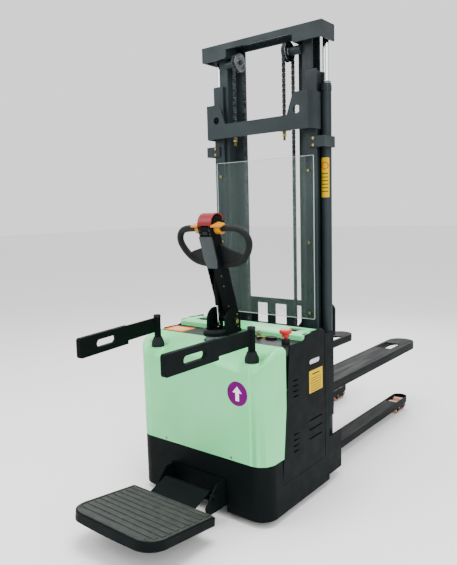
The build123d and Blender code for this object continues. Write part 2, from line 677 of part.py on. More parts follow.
with BuildPart() as chain_wraps:
    for sign in (-1, 1):
        near = (sign * (chain_x - chain_width / 2), pulley_y, pulley_z)
        far = (sign * (chain_x + chain_width / 2), pulley_y, pulley_z)
        rod(near, far, wrap_outer)
        rod(near, far, wrap_inner, Mode.SUBTRACT)
        below = (pulley_z - wrap_outer, pulley_z)
        block((near[0], far[0]), (front_strand[0], rear_strand[1]), below, Mode.SUBTRACT)
chain_wraps.part.label = "chain_wraps"
export_step(chain_wraps.part, "parts/chain_wraps.step")

# ---- guard screen ---------------------------------------------------------------------------------
screen_bolt_rows = [screen_z[0] + 32 + 368 * row for row in range(3)]
with BuildPart() as guard_screen:
    block((-screen_half, screen_half), (outer_y[0] - screen_thick, outer_y[0]), screen_z)
    fillet(guard_screen.edges().filter_by(Axis.Y), 12)
    for sign in (-1, 1):
        for bolt_z in screen_bolt_rows:
            start = (sign * screen_bolt_x, outer_y[0] - screen_thick, bolt_z)
            rod(start, (sign * screen_bolt_x, outer_y[0], bolt_z), 4.5, Mode.SUBTRACT)
guard_screen.part.label = "guard_screen"
export_step(guard_screen.part, "parts/guard_screen.step")

# ---- fork carriage --------------------------------------------------------------------------------
carriage_roller_y = inner_y[1] - inner_flange - fit_gap - carriage_roller_radius
carriage_roller_z = (carriage_z[0] + 34, carriage_z[1] - 34)
with BuildPart() as fork_carriage:
    for sign in (-1, 1):
        plate_x = (sign * carriage_plate_x[0], sign * carriage_plate_x[1])
        block(plate_x, (mast_y + 60, carriage_bar_y[0]), carriage_z)
        for roller_z in carriage_roller_z:
            start = (sign * carriage_plate_x[1], carriage_roller_y, roller_z)
            rod(start, (sign * (carriage_roller_x[1] + 4), carriage_roller_y, roller_z), 14)
        anchor = (sign * (chain_x - 9), sign * (chain_x + 9))
        block(anchor, (pulley_y + wrap_inner - 6, pulley_y + wrap_outer + 6), (carriage_z[1], chain_foot_z))
    bar_half = fork_x[1]
    block((-bar_half, bar_half), carriage_bar_y, (carriage_z[0], carriage_z[0] + 60))
    block((-bar_half, bar_half), carriage_bar_y, (carriage_z[1] - 60, carriage_z[1]))
fork_carriage.part.label = "fork_carriage"
export_step(fork_carriage.part, "parts/fork_carriage.step")

for row, roller_z in (("lower", carriage_roller_z[0]), ("upper", carriage_roller_z[1])):
    with BuildPart() as carriage_rollers:
        for sign in (-1, 1):
            start = (sign * carriage_roller_x[0], carriage_roller_y, roller_z)
            end = (sign * carriage_roller_x[1], carriage_roller_y, roller_z)
            rod(start, end, carriage_roller_radius)
            rod(start, end, 14 + shaft_gap, Mode.SUBTRACT)
    carriage_rollers.part.label = f"carriage_rollers_{row}"
    export_step(carriage_rollers.part, f"parts/carriage_rollers_{row}.step")

# ---- load backrest --------------------------------------------------------------------------------
backrest_y = (carriage_bar_y[1], carriage_bar_y[1] + backrest_thick)
with BuildPart() as load_backrest:
    with BuildSketch(Plane(origin=(0, backrest_y[1], 0), x_dir=(1, 0, 0), z_dir=(0, -1, 0))) as frame:
        middle_z = (backrest_z[0] + backrest_z[1]) / 2
        with Locations((0, middle_z)):
            Rectangle(2 * backrest_half, backrest_z[1] - backrest_z[0])
        fillet(frame.vertices().group_by(Axis.Y)[-1], 40)
        window_z = (backrest_z[0] + 28, backrest_z[1] - 32)
        half_bar = backrest_bar / 2
        edges_x = [0.0] + [edge for bar in backrest_bar_x for edge in (bar - half_bar, bar + half_bar)]
        edges_x.append(backrest_half - 30)
        for left, right in ((-edges_x[1], edges_x[1]), (edges_x[2], edges_x[3]), (edges_x[4], edges_x[5]),
                            (-edges_x[3], -edges_x[2]), (-edges_x[5], -edges_x[4])):
            with Locations(((left + right) / 2, (window_z[0] + window_z[1]) / 2)):
                Rectangle(right - left, window_z[1] - window_z[0], mode=Mode.SUBTRACT)
        for bar in (-backrest_bar_x[0], backrest_bar_x[0]):
            with Locations((bar, backrest_z[0] - 30)):
                Rectangle(backrest_bar, 62)
    extrude(amount=backrest_thick)
load_backrest.part.label = "load_backrest"
export_step(load_backrest.part, "parts/load_backrest.step")

# ---- forks ----------------------------------------------------------------------------------------
fork_mid = (fork_x[0] + fork_x[1]) / 2
fork_half = (fork_x[1] - fork_x[0]) / 2


def fork_outline(inset):
    """A fork blade in plan: straight sides and a half-round tip."""
    with BuildSketch(mode=Mode.PRIVATE) as plan:
        with Locations((fork_mid, (heel_y[0] + 8 + fork_tip_y - inset) / 2)):
            Rectangle(2 * (fork_half - inset), fork_tip_y - inset - heel_y[0] - 8)
        fillet(plan.vertices().group_by(Axis.Y)[-1], fork_half - inset - 1)
    return plan.sketch


def fork(sign):
    with BuildPart() as blade:
        extrude(Plane.XY.offset(fork_top_z - fork_depth) * fork_outline(0), amount=fork_depth)
        hollow = Plane.XY.offset(fork_top_z - fork_depth) * fork_outline(fork_wall)
        extrude(hollow, amount=fork_depth - fork_wall, mode=Mode.SUBTRACT)
        hollow_x = (fork_x[0] + fork_wall, fork_x[1] - fork_wall)
        block(hollow_x, heel_y, (fork_top_z - fork_depth, fork_top_z - fork_wall), Mode.SUBTRACT)
        block(fork_hole_x, fork_hole_y, (fork_top_z - fork_wall, fork_top_z), Mode.SUBTRACT)
        block(fork_x, heel_y, (fork_top_z - fork_wall, carriage_z[1]))
        if sign < 0:
            mirror(about=Plane.YZ, mode=Mode.REPLACE)
    return blade.part


for side, sign in (("left", -1), ("right", 1)):
    fork_part = fork(sign)
    fork_part.label = f"fork_{side}"
    export_step(fork_part, f"parts/fork_{side}.step")

# ---- drive unit and drive wheel -------------------------------------------------------------------
wheel_half = drive_wheel_width / 2
gearbox_x = (wheel_half + 6, wheel_half + 38)
wheel_axle = 15.0
with BuildPart() as drive_unit:
    rod((0, steer_y, deck_plate_z - 6), (0, steer_y, deck_plate_top + fit_gap), turntable_radius)
    rod((0, steer_y, deck_plate_top + fit_gap), (0, steer_y, deck_plate_top + 14), turntable_radius + 14)
    rod((0, steer_y, deck_plate_top + 14), (0, steer_y, 520), motor_radius)
    rod((0, steer_y, 520), (0, steer_y, flange_z[0] - 38), 30)
    rod((0, steer_y, flange_z[0] - 38), (0, steer_y, flange_z[0]), neck_radius)
    block(gearbox_x, (steer_y - 55, steer_y + 55), (drive_wheel_radius - 20, deck_plate_z - 6))
    hub = (gearbox_x[0], steer_y, drive_wheel_radius)
    rod(hub, (gearbox_x[1], steer_y, drive_wheel_radius), 60)
    rod((-wheel_half, steer_y, drive_wheel_radius), hub, wheel_axle)
drive_unit.part.label = "drive_unit"
export_step(drive_unit.part, "parts/drive_unit.step")

with BuildPart() as drive_wheel:
    axle = (steer_y, drive_wheel_radius)
    rod((-wheel_half, *axle), (wheel_half, *axle), drive_wheel_radius)
    chamfer(drive_wheel.edges().filter_by(GeomType.CIRCLE), 4)
    for sign in (-1, 1):
        recess = (sign * (wheel_half - 12), steer_y, drive_wheel_radius)
        rod(recess, (sign * wheel_half, steer_y, drive_wheel_radius), 70, Mode.SUBTRACT)
    bore_end = (wheel_half, steer_y, drive_wheel_radius)
    rod((-wheel_half, steer_y, drive_wheel_radius), bore_end, wheel_axle + shaft_gap, Mode.SUBTRACT)
drive_wheel.part.label = "drive_wheel"
export_step(drive_wheel.part, "parts/drive_wheel.step")

# ---- castors --------------------------------------------------------------------------------------
castor_wheel_y = castor_y - castor_trail
crown_z = 2 * castor_radius + 12
castor_axle = 8.0
yoke_half = castor_width / 2 + 12


def castor_fork(x):
    with BuildPart() as yoke:
        rod((x, castor_y, deck_plate_z - 16), (x, castor_y, deck_plate_top + 10), kingpin_radius)
        rod((x, castor_y, deck_plate_z - 16), (x, castor_y, deck_plate_z - fit_gap), 36)
        rod((x, castor_y, deck_plate_top + fit_gap), (x, castor_y, deck_plate_top + 10), 20)
        rod((x, castor_y, crown_z), (x, castor_y, deck_plate_z - 16), 26)
        block((x - yoke_half, x + yoke_half), (castor_wheel_y - 20, castor_y + 26), (crown_z, crown_z + 8))
        cheek_outline = ((castor_wheel_y - 20, crown_z), (castor_y + 26, crown_z), (castor_wheel_y + 18, 50),
                         (castor_wheel_y, 44), (castor_wheel_y - 18, 50))
        for cheek_x in (x - yoke_half, x + yoke_half - 6):
            prism(side_plane(cheek_x), cheek_outline, 6)
        start = (x - yoke_half, castor_wheel_y, castor_radius)
        rod(start, (x + yoke_half, castor_wheel_y, castor_radius), castor_axle)
    return yoke.part


def castor_wheel(x):
    with BuildPart() as wheel:
        start = (x - castor_width / 2, castor_wheel_y, castor_radius)
        end = (x + castor_width / 2, castor_wheel_y, castor_radius)
        rod(start, end, castor_radius)
        chamfer(wheel.edges().filter_by(GeomType.CIRCLE), 5)
        rod(start, end, castor_axle + shaft_gap, Mode.SUBTRACT)
    return wheel.part


for side, sign in (("left", -1), ("right", 1)):
    fork_part = castor_fork(sign * castor_x)
    fork_part.label = f"castor_fork_{side}"
    export_step(fork_part, f"parts/castor_fork_{side}.step")
    wheel_part = castor_wheel(sign * castor_x)
    wheel_part.label = f"castor_wheel_{side}"
    export_step(wheel_part, f"parts/castor_wheel_{side}.step")

# ---- tiller base ----------------------------------------------------------------------------------
spring_foot = (-22.0, mast_y - 352, 866.0)
spring_barrel = 11.0
spring_pin = 4.0
spring_eye = 9.0
eye_half = 5.0
with BuildPart() as tiller_base:
    rod((0, steer_y, flange_z[0]), (0, steer_y, flange_z[1]), flange_radius)
    block((-flange_radius, flange_radius), (steer_y, mast_y - 272), flange_z)
    for sign in (-1, 1):
        ear_y = (ear_centre[0] - ear_radius, ear_centre[0] + ear_radius)
        block((sign * ear_x[0], sign * ear_x[1]), ear_y, (flange_z[1], ear_centre[1]))
        rod((sign * ear_x[0], *ear_centre), (sign * ear_x[1], *ear_centre), ear_radius)
        rod((sign * ear_x[1], pivot_y, pivot_z), (sign * (ear_x[1] + 10), pivot_y, pivot_z), 15)
        lug = sorted((spring_foot[0] + sign * (eye_half + fit_gap), spring_foot[0] + sign * (eye_half + 6)))
        lug_y = (spring_foot[1] - spring_eye, spring_foot[1] + spring_eye)
        block(lug, lug_y, (flange_z[1], spring_foot[2] + 9))
    rod((-ear_x[1], pivot_y, pivot_z), (ear_x[1], pivot_y, pivot_z), pivot_radius)
    pin_ends = (spring_foot[0] - eye_half - 6, spring_foot[0] + eye_half + 6)
    rod((pin_ends[0], *spring_foot[1:]), (pin_ends[1], *spring_foot[1:]), spring_pin)
tiller_base.part.label = "tiller_base"
export_step(tiller_base.part, "parts/tiller_base.step")

# ---- tiller arm, in its own plane: x across, y away from the operator, z up along the arm ---------
lean = radians(tiller_lean)
tiller = Plane(origin=(0, pivot_y, pivot_z), x_dir=(1, 0, 0), z_dir=(0, -sin(lean), cos(lean)))
arm_foot = 20.0
arm_top = 440.0
head_y = (2.0, 110.0)
head_barrel = 39.0
cap_inner = 47.0
cap_outer = 52.0
cap_foot = 505.0
guide_pin = 2.5
guide_points = [(x, head_axis[0] + y) for x in (-28.0, 28.0) for y in (-48.0, 48.0)]
rocker_z = (460.0, 476.0)
rocker_half = 16.0
rocker_pin = 2.5
rocker_y = 7.0
boss_reach = ear_x[0] - fit_gap
with BuildPart() as tiller_arm:
    block((-arm_half, arm_half), (0, arm_depth), (arm_foot, arm_top))
    hollow_x = (arm_wall - arm_half, arm_half - arm_wall)
    block(hollow_x, (arm_wall, arm_depth - arm_wall), (arm_foot, arm_top - 20), Mode.SUBTRACT)
    slot_x = (hollow_x[0], spring_foot[0] + spring_barrel + 7)
    block(slot_x, (0, arm_wall), (arm_foot, 290), Mode.SUBTRACT)
    for sign in (-1, 1):
        rod((sign * (arm_half - arm_wall), 0, 0), (sign * boss_reach, 0, 0), 25)
        block((sign * (arm_half - arm_wall), sign * arm_half), (0, arm_depth), (0, arm_foot))
    rod((-boss_reach, 0, 0), (boss_reach, 0, 0), pivot_radius + shaft_gap, Mode.SUBTRACT)
    block((-arm_half, arm_half), head_y, (arm_top, head_axis[1]))
    rod((-arm_half, *head_axis), (arm_half, *head_axis), head_barrel)
    for point in guide_points:
        rod((*point, head_axis[1] - 22), (*point, head_axis[1]), guide_pin + shaft_gap, Mode.SUBTRACT)
    recess_x = (-rocker_half - 1.5, rocker_half + 1.5)
    recess_z = (rocker_z[0] - fit_gap, rocker_z[1] + fit_gap)
    block(recess_x, (head_y[0], head_y[0] + 10), recess_z, Mode.SUBTRACT)
    rod((0, rocker_y, rocker_z[0] - 5), (0, rocker_y, rocker_z[1] + 5), rocker_pin + shaft_gap, Mode.SUBTRACT)
tiller_arm_part = tiller.location * tiller_arm.part
tiller_arm_part.label = "tiller_arm"
export_step(tiller_arm_part, "parts/tiller_arm.step")

loop_path = ((arm_half, 478), (120, 478), (197, 458), (219, 402), (165, 318), (arm_half - 12, 288))
web_outline = ((arm_half, 400), (160, 345), (175, 322), (120, 303), (arm_half, 290))


def loop_half(sign):
    across = Plane(origin=(0, handle_axis[0], 0), x_dir=(1, 0, 0), z_dir=(0, -1, 0))
    with BuildPart() as half:
        with BuildLine(across) as path:
            FilletPolyline(*[(sign * x, z) for x, z in loop_path], radius=28)
        start = Plane(origin=path.wires()[0] @ 0, z_dir=path.wires()[0] % 0)
        with BuildSketch(start):
            Circle(handle_radius)
        sweep(path=path.wires()[0])
        web_plane = Plane(origin=(0, handle_axis[0] + 7, 0), x_dir=(1, 0, 0), z_dir=(0, -1, 0))
        prism(web_plane, [(sign * x, z) for x, z in web_outline], 14)
    return half.part


with BuildPart() as tiller_loop:
    add(loop_half(-1))
    add(loop_half(1))
    block((-arm_half, arm_half), (0, 2 * handle_axis[0]), (250, 510), Mode.SUBTRACT)
tiller_loop_part = tiller.location * tiller_loop.part
tiller_loop_part.label = "tiller_loop"
export_step(tiller_loop_part, "parts/tiller_loop.step")

with BuildPart() as belly_button:
    rod((-arm_half, *head_axis), (arm_half, *head_axis), cap_outer)
    rod((-arm_half, *head_axis), (arm_half, *head_axis), cap_inner, Mode.SUBTRACT)
    wide = (head_axis[0] - cap_outer, head_axis[0] + cap_outer)
    block((-arm_half, arm_half), wide, (head_axis[1] - cap_outer, cap_foot), Mode.SUBTRACT)
    for point in guide_points:
        rod((*point, head_axis[1] - 15), (*point, cap_foot + 6), guide_pin)
belly_button_part = tiller.location * belly_button.part
belly_button_part.label = "belly_button"
export_step(belly_button_part, "parts/belly_button.step")

paddle_x = (arm_half + 2, arm_half + 34)
paddle_tip = 122.0
with BuildPart() as throttle_paddles:
    for sign in (-1, 1):
        rod((sign * paddle_x[0], *handle_axis), (sign * paddle_x[1], *handle_axis), 28)
        wing_x = (sign * paddle_x[0], sign * paddle_tip)
        wing_y = (handle_axis[0] - 46, handle_axis[0] + 18)
        block(wing_x, wing_y, (handle_axis[1] + 20, handle_axis[1] + 28))
        rod((sign * paddle_x[0], *handle_axis), (sign * paddle_x[1], *handle_axis), handle_radius + shaft_gap,
            Mode.SUBTRACT)
throttle_paddles_part = tiller.location * throttle_paddles.part
throttle_paddles_part.label = "throttle_paddles"
export_step(throttle_paddles_part, "parts/throttle_paddles.step")

with BuildPart() as lift_rocker:
    block((-rocker_half, rocker_half), (rocker_y - 9, rocker_y + 1), rocker_z)
    rod((0, rocker_y, rocker_z[0] - 5), (0, rocker_y, rocker_z[1] + 5), rocker_pin)
lift_rocker_part = tiller.location * lift_rocker.part
lift_rocker_part.label = "lift_rocker"
export_step(lift_rocker_part, "parts/lift_rocker.step")

# ---- gas spring, in its own plane: z from the lower eye to the top --------------------------------
spring_lean = radians(3.4)
spring_length = 268.5
barrel_foot = 112.0
spring = Plane(origin=spring_foot, x_dir=(1, 0, 0), z_dir=(0, -sin(spring_lean), cos(spring_lean)))
with BuildPart() as gas_spring_rod:
    rod((0, 0, 0), (0, 0, 200), spring_pin)
    rod((-eye_half, 0, 0), (eye_half, 0, 0), spring_eye)
    rod((-eye_half, 0, 0), (eye_half, 0, 0), spring_pin + shaft_gap, Mode.SUBTRACT)
gas_spring_rod_part = spring.location * gas_spring_rod.part
gas_spring_rod_part.label = "gas_spring_rod"
export_step(gas_spring_rod_part, "parts/gas_spring_rod.step")

with BuildPart() as gas_spring_barrel:
    rod((0, 0, barrel_foot), (0, 0, spring_length), spring_barrel)
    chamfer(gas_spring_barrel.edges().filter_by(GeomType.CIRCLE), 2)
    rod((0, 0, barrel_foot), (0, 0, spring_length - 12), spring_pin + shaft_gap, Mode.SUBTRACT)
gas_spring_barrel_part = spring.location * gas_spring_barrel.part
gas_spring_barrel_part.label = "gas_spring_barrel"
export_step(gas_spring_barrel_part, "parts/gas_spring_barrel.step")

# ---- guard arms and the boots round their posts ---------------------------------------------------
slot_reach = (324.0, 461.0)
slot_z = (855.0, 890.0)


def guard_arm(side, sign, swing):
    """Post upright on its own axis, arm reaching towards the operator."""
    with BuildPart() as arm:
        rod((0, 0, post_foot_z), (0, 0, post_top_z), post_radius)
        block((-7, 7), (-grip_start - 10, 0), arm_z)
        block((-12, 12), (-arm_reach, -grip_start), grip_z)
        fillet(arm.edges().filter_by(Axis.X).group_by(Axis.Y)[0], 12)
        slot_middle = ((slot_reach[0] + slot_reach[1]) / -2, (slot_z[0] + slot_z[1]) / 2)
        with BuildSketch(side_plane(-12), mode=Mode.PRIVATE) as slot:
            with Locations(slot_middle):
                SlotOverall(slot_reach[1] - slot_reach[0], slot_z[1] - slot_z[0])
        extrude(slot.sketch, amount=24, mode=Mode.SUBTRACT)
    placed = Location((sign * post_x, post_y, 0), (0, 0, swing)) * arm.part
    placed.label = f"guard_arm_{side}"
    export_step(placed, f"parts/guard_arm_{side}.step")


guard_arm("left", -1, left_arm_swing)
guard_arm("right", 1, 0)

boot_radius = 40.0
with BuildPart() as post_boots:
    for sign in (-1, 1):
        rod((sign * post_x, post_y, socket_top_z), (sign * post_x, post_y, boot_z), 30)
        rod((sign * post_x, post_y, boot_z), (sign * post_x, post_y, boot_z + 22), boot_radius)
        with Locations((sign * post_x, post_y, boot_z + 22)):
            Cone(boot_radius, post_radius + 2, 22, align=(Align.CENTER, Align.CENTER, Align.MIN))
        bore = post_radius + fit_gap
        rod((sign * post_x, post_y, socket_top_z), (sign * post_x, post_y, boot_z + 44), bore, Mode.SUBTRACT)
post_boots.part.label = "post_boots"
export_step(post_boots.part, "parts/post_boots.step")

# ---- platform -------------------------------------------------------------------------------------
bracket_z = (60.0, 190.0)
with BuildPart() as platform_bracket:
    bracket_front = front_face_y - bracket_wall
    block((-bracket_half, bracket_half), (bracket_front, front_face_y), bracket_z)
    ear_outline = ((front_face_y, bracket_z[0]), (front_face_y, bracket_z[1]),
                   (platform_axis_y + 22, bracket_z[1] - 3), (platform_axis_y - 62, 100),
                   (platform_axis_y - 50, bracket_z[0]))
    pin_at = (platform_axis_y, platform_axis_z)
    for ear in (-bracket_half, bracket_half - bracket_wall):
        prism(side_plane(ear), ear_outline, bracket_wall)
        rod((ear, *pin_at), (ear + bracket_wall, *pin_at), platform_pin_radius, Mode.SUBTRACT)
    rod((-bracket_half - 15, *pin_at), (bracket_half + 15, *pin_at), platform_pin_radius)
    for sign in (-1, 1):
        rod((sign * bracket_half, *pin_at), (sign * (bracket_half + 10), *pin_at), 17)
platform_bracket.part.label = "platform_bracket"
export_step(platform_bracket.part, "parts/platform_bracket.step")

tilt = radians(platform_tilt)
hinge = Plane(origin=(0, *pin_at), x_dir=(1, 0, 0), z_dir=(0, sin(tilt), cos(tilt)))
pan_top = -platform_drop - mat_thick
pan_foot = pan_top - tray_depth
axis_reach = platform_reach + platform_axis_y - mast_y
pan_outer = (axis_reach + pan_foot * sin(tilt)) / cos(tilt)
pan_wall = 4.0


def pan_outline(inset):
    """The platform in plan: square at the hinge, rounded outer corners, slightly bowed outer edge."""
    half = platform_half - inset
    near = -platform_near - inset
    far = inset - pan_outer
    with BuildSketch(mode=Mode.PRIVATE) as plan:
        with BuildLine():
            outer = Polyline((-half, far + 10), (-half, near), (half, near), (half, far + 10))
            ThreePointArc(outer @ 1, (0, far), outer @ 0)
        make_face()
        fillet(plan.vertices().group_by(Axis.Y)[0], 95 - inset)
    return plan.sketch


with BuildPart() as platform_tray:
    extrude(Plane.XY.offset(pan_foot) * pan_outline(0), amount=tray_depth)
    hollow = Plane.XY.offset(pan_foot) * pan_outline(pan_wall)
    extrude(hollow, amount=tray_depth - pan_wall, mode=Mode.SUBTRACT)
    rod((-hinge_half, 0, 0), (hinge_half, 0, 0), hinge_tube_radius)
    hinge_plate = ((-1, 21.5), (-platform_near, -28), (-platform_near, pan_top - 2), (-6, 15))
    prism(side_plane(-hinge_half), hinge_plate, 2 * hinge_half)
    rod((-hinge_half, 0, 0), (hinge_half, 0, 0), platform_pin_radius + shaft_gap, Mode.SUBTRACT)
platform_tray_part = hinge.location * platform_tray.part
platform_tray_part.label = "platform_tray"
export_step(platform_tray_part, "parts/platform_tray.step")

rib_pitch = 38.0
rib_width = 24.0
with BuildPart() as platform_mat:
    extrude(Plane.XY.offset(pan_top) * pan_outline(8), amount=mat_thick / 2)
    ribs = Plane.XY.offset(pan_top + mat_thick / 2) * pan_outline(14)
    extrude(ribs, amount=mat_thick / 2)
    for groove in range(10):
        groove_y = -platform_near - 14 - rib_width - groove * rib_pitch
        groove_span = (groove_y - rib_pitch + rib_width, groove_y)
        block((-platform_half, platform_half), groove_span, (pan_top + mat_thick / 2, pan_top + mat_thick),
              Mode.SUBTRACT)
platform_mat_part = hinge.location * platform_mat.part
platform_mat_part.label = "platform_mat"
export_step(platform_mat_part, "parts/platform_mat.step")

# ---- bolts and chain anchors ----------------------------------------------------------------------
screen_face = outer_y[0] - screen_thick
with BuildPart() as fasteners:
    for sign in (-1, 1):
        for bolt_z in screen_bolt_rows:
            rod((sign * screen_bolt_x, screen_face, bolt_z), (sign * screen_bolt_x, outer_y[0], bolt_z), 4.3)
            bolt_x = sign * screen_bolt_x
            rod((bolt_x, screen_face - 6, bolt_z), (bolt_x, screen_face, bolt_z), 9)
        for bolt_z in clamp_bolt_z:
            bolt_x = sign * clamp_bolt_x
            rod((bolt_x, outer_y[0] - 10, bolt_z), (bolt_x, outer_y[0], bolt_z), 4.8)
            rod((bolt_x, outer_y[0] - 17, bolt_z), (bolt_x, outer_y[0] - 10, bolt_z), 9)
        anchor_at = (sign * chain_x, mast_y + 3)
        rod((*anchor_at, anchor_z - 62), (*anchor_at, anchor_z), 7)
        rod((*anchor_at, anchor_z - 28), (*anchor_at, anchor_z - 14), 13)
        rod((*anchor_at, anchor_z - 40), (*anchor_at, anchor_z - 30), 13)
fasteners.part.label = "fasteners"
export_step(fasteners.part, "parts/fasteners.step")
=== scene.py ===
"""Looks of a ride-on pallet stacker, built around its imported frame, in metres."""
import json
from math import cos, hypot, pi, radians, sin, sqrt, tan

import bmesh
import bpy
from mathutils import Matrix, Vector


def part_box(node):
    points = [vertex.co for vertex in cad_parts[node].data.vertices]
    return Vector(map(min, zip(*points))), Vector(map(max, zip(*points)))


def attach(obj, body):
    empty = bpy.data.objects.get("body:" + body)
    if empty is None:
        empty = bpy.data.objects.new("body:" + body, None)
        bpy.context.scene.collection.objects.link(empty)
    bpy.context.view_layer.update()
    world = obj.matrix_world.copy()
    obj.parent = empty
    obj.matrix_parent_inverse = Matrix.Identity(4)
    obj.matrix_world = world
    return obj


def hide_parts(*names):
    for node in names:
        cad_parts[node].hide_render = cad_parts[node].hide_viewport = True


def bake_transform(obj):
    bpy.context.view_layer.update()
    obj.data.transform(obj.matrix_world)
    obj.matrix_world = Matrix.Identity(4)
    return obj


bl_info = {
    "name": "Pallet stacker",
    "version": (1, 0, 0),
    "blender": (4, 5, 0),
    "location": "View3D > Sidebar > Stacker",
    "description": "Builds the looks of a ride-on pallet stacker on its packed frame",
    "category": "Object",
}

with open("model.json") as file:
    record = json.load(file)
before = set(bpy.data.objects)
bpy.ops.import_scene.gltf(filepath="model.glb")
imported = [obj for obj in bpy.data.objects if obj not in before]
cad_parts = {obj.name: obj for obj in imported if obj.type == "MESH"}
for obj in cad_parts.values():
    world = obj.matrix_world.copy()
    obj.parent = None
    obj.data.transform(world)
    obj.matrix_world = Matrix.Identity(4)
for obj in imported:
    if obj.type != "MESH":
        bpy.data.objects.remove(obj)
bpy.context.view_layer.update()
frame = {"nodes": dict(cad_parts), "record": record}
NODES = frame["nodes"]
BODY_OF = {node: body for body, nodes in frame["record"]["behaviour"]["bodies"].items() for node in nodes}
SLOT_OF = {part["node"]: part["material_slot"] for part in frame["record"]["subparts"]}
MM = 0.001

# places that several pieces share
POST = Vector((0.3, -0.658))               # a guard arm's post, mirrored on the left
STEER_Y = -0.551                           # the steering turret's axis
TILT = (0, -0.464, 0.898)                  # the tiller's pivot
CYLINDER = (0.342, -0.035)                 # a lift cylinder's axis, mirrored on the left
CHAIN_X = 0.159                            # a lift chain's middle, mirrored on the left
PULLEY_Y, PULLEY_Z = -0.0985, 2.247        # the chain pulleys' axle
WRAP = 0.0443                              # from the axle to the middle of the chain on its pulley
ANCHOR_Y = -0.143                          # the chain anchors' rods


# ---- small helpers --------------------------------------------------------------------------------
def srgb(code):
    """A hex colour as linear RGBA."""
    parts = [int(code[i:i + 2], 16) / 255 for i in (1, 3, 5)]
    return (*[p / 12.92 if p <= 0.04045 else ((p + 0.055) / 1.055) ** 2.4 for p in parts], 1.0)


def tone(colour):
    """A hex colour or a colour property as linear RGBA."""
    return srgb(colour) if isinstance(colour, str) else tuple(colour)


def smooth(low, high, value):
    """0 below low, 1 above high, and an S between them."""
    t = min(1.0, max(0.0, (value - low) / (high - low)))
    return t * t * (3 - 2 * t)


def centre(node):
    low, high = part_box(node)
    return (low + high) / 2


def frame_at(origin, across, up):
    """A matrix whose X runs along across and whose Z runs along up."""
    across, up = Vector(across).normalized(), Vector(up).normalized()
    away = up.cross(across).normalized()
    across = away.cross(up)
    columns = Matrix((across, away, up)).transposed().to_4x4()
    return Matrix.Translation(Vector(origin)) @ columns


def linked(name, data):
    """A new object in the scene."""
    piece = bpy.data.objects.new(name, data)
    bpy.context.scene.collection.objects.link(piece)
    return piece


def shade(piece, sharp=32.0):
    """Smooth faces that break at edges sharper than this many degrees."""
    piece.data.polygons.foreach_set("use_smooth", [True] * len(piece.data.polygons))
    piece.data.set_sharp_from_angle(angle=radians(sharp))
    return piece


def mesh_piece(name, bm, material, matrix=None, sharp=32.0):
    """A finished mesh object at the origin, with its place in its mesh."""
    if matrix is not None:
        bm.transform(matrix)
    mesh = bpy.data.meshes.new(name)
    bm.to_mesh(mesh)
    bm.free()
    mesh.materials.append(material)
    return shade(linked(name, mesh), sharp)


def baked(piece):
    """The piece with its modifiers or its curve turned into a plain mesh at the origin."""
    view = bpy.context.view_layer
    view.update()
    mesh = bpy.data.meshes.new_from_object(piece.evaluated_get(bpy.context.evaluated_depsgraph_get()))
    mesh.transform(piece.matrix_world)
    name = piece.name
    old = piece.data
    bpy.data.objects.remove(piece)
    if isinstance(old, bpy.types.Mesh):
        bpy.data.meshes.remove(old)
    else:
        bpy.data.curves.remove(old)
    mesh.name = name
    return linked(name, mesh)


def rounded_edges(piece, width, segments=2, angle=35.0):
    """Breaks the sharp edges, as deburring and paint do."""
    bevel = piece.modifiers.new("Edges", "BEVEL")
    bevel.width = width
    bevel.segments = segments
    bevel.limit_method = "ANGLE"
    bevel.angle_limit = radians(angle)
    bevel.use_clamp_overlap = True
    bevel.miter_outer = "MITER_ARC"
    piece = shade(baked(piece), 50)
    flatter = piece.modifiers.new("Flat faces", "WEIGHTED_NORMAL")
    flatter.keep_sharp = True
    return baked(piece)


def hand_over(piece, node=None, body=None):
    """The piece rides on its body and stands for its CAD node if it has one."""
    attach(piece, body or BODY_OF[node])
    if node:
        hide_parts(node)
    return piece


# shafts that turn or slide in a socket: x, y, the level below which they are slimmed, and their reach
EASED = {"guard_arm_left": (-POST.x, POST.y, 0.7645, 0.0185), "guard_arm_right": (*POST, 0.7645, 0.0185),
         "stop_button": (*centre("stop_button").xy, 0.9, 0.0093)}
SLIMMED = 0.94


def eased(node, bm):
    """Slims a shaft where its socket hides it: the facets of shaft and bore would cross as it turns."""
    x, y, top, radius = EASED[node]
    foot = min(vert.co.z for vert in bm.verts) + 0.0005
    for vert in bm.verts:
        if vert.co.z < top and hypot(vert.co.x - x, vert.co.y - y) < radius:
            vert.co.z += 0.001 if vert.co.z < foot else 0
            vert.co.x = x + (vert.co.x - x) * SLIMMED
            vert.co.y = y + (vert.co.y - y) * SLIMMED


def merged(node):
    """A copy of a CAD node with its flat facets merged."""
    bm = bmesh.new()
    bm.from_mesh(NODES[node].data)
    bmesh.ops.remove_doubles(bm, verts=bm.verts, dist=0.00001)
    bmesh.ops.dissolve_limit(bm, angle_limit=radians(0.4), verts=bm.verts, edges=bm.edges)
    return bm


def sliced(bm, place, normal):
    """Adds the edges where a plane crosses the mesh."""
    bmesh.ops.bisect_plane(bm, geom=bm.verts[:] + bm.edges[:] + bm.faces[:], plane_co=place, plane_no=normal)


def softened(node, material, width, segments=2):
    """A copy of a CAD node with its facets merged and its edges broken."""
    bm = merged(node)
    if node in EASED:
        sliced(bm, (0, 0, 0.764), (0, 0, 1))
        eased(node, bm)
    piece = rounded_edges(mesh_piece(f"{node}_looks", bm, material), width, segments)
    return hand_over(piece, node)


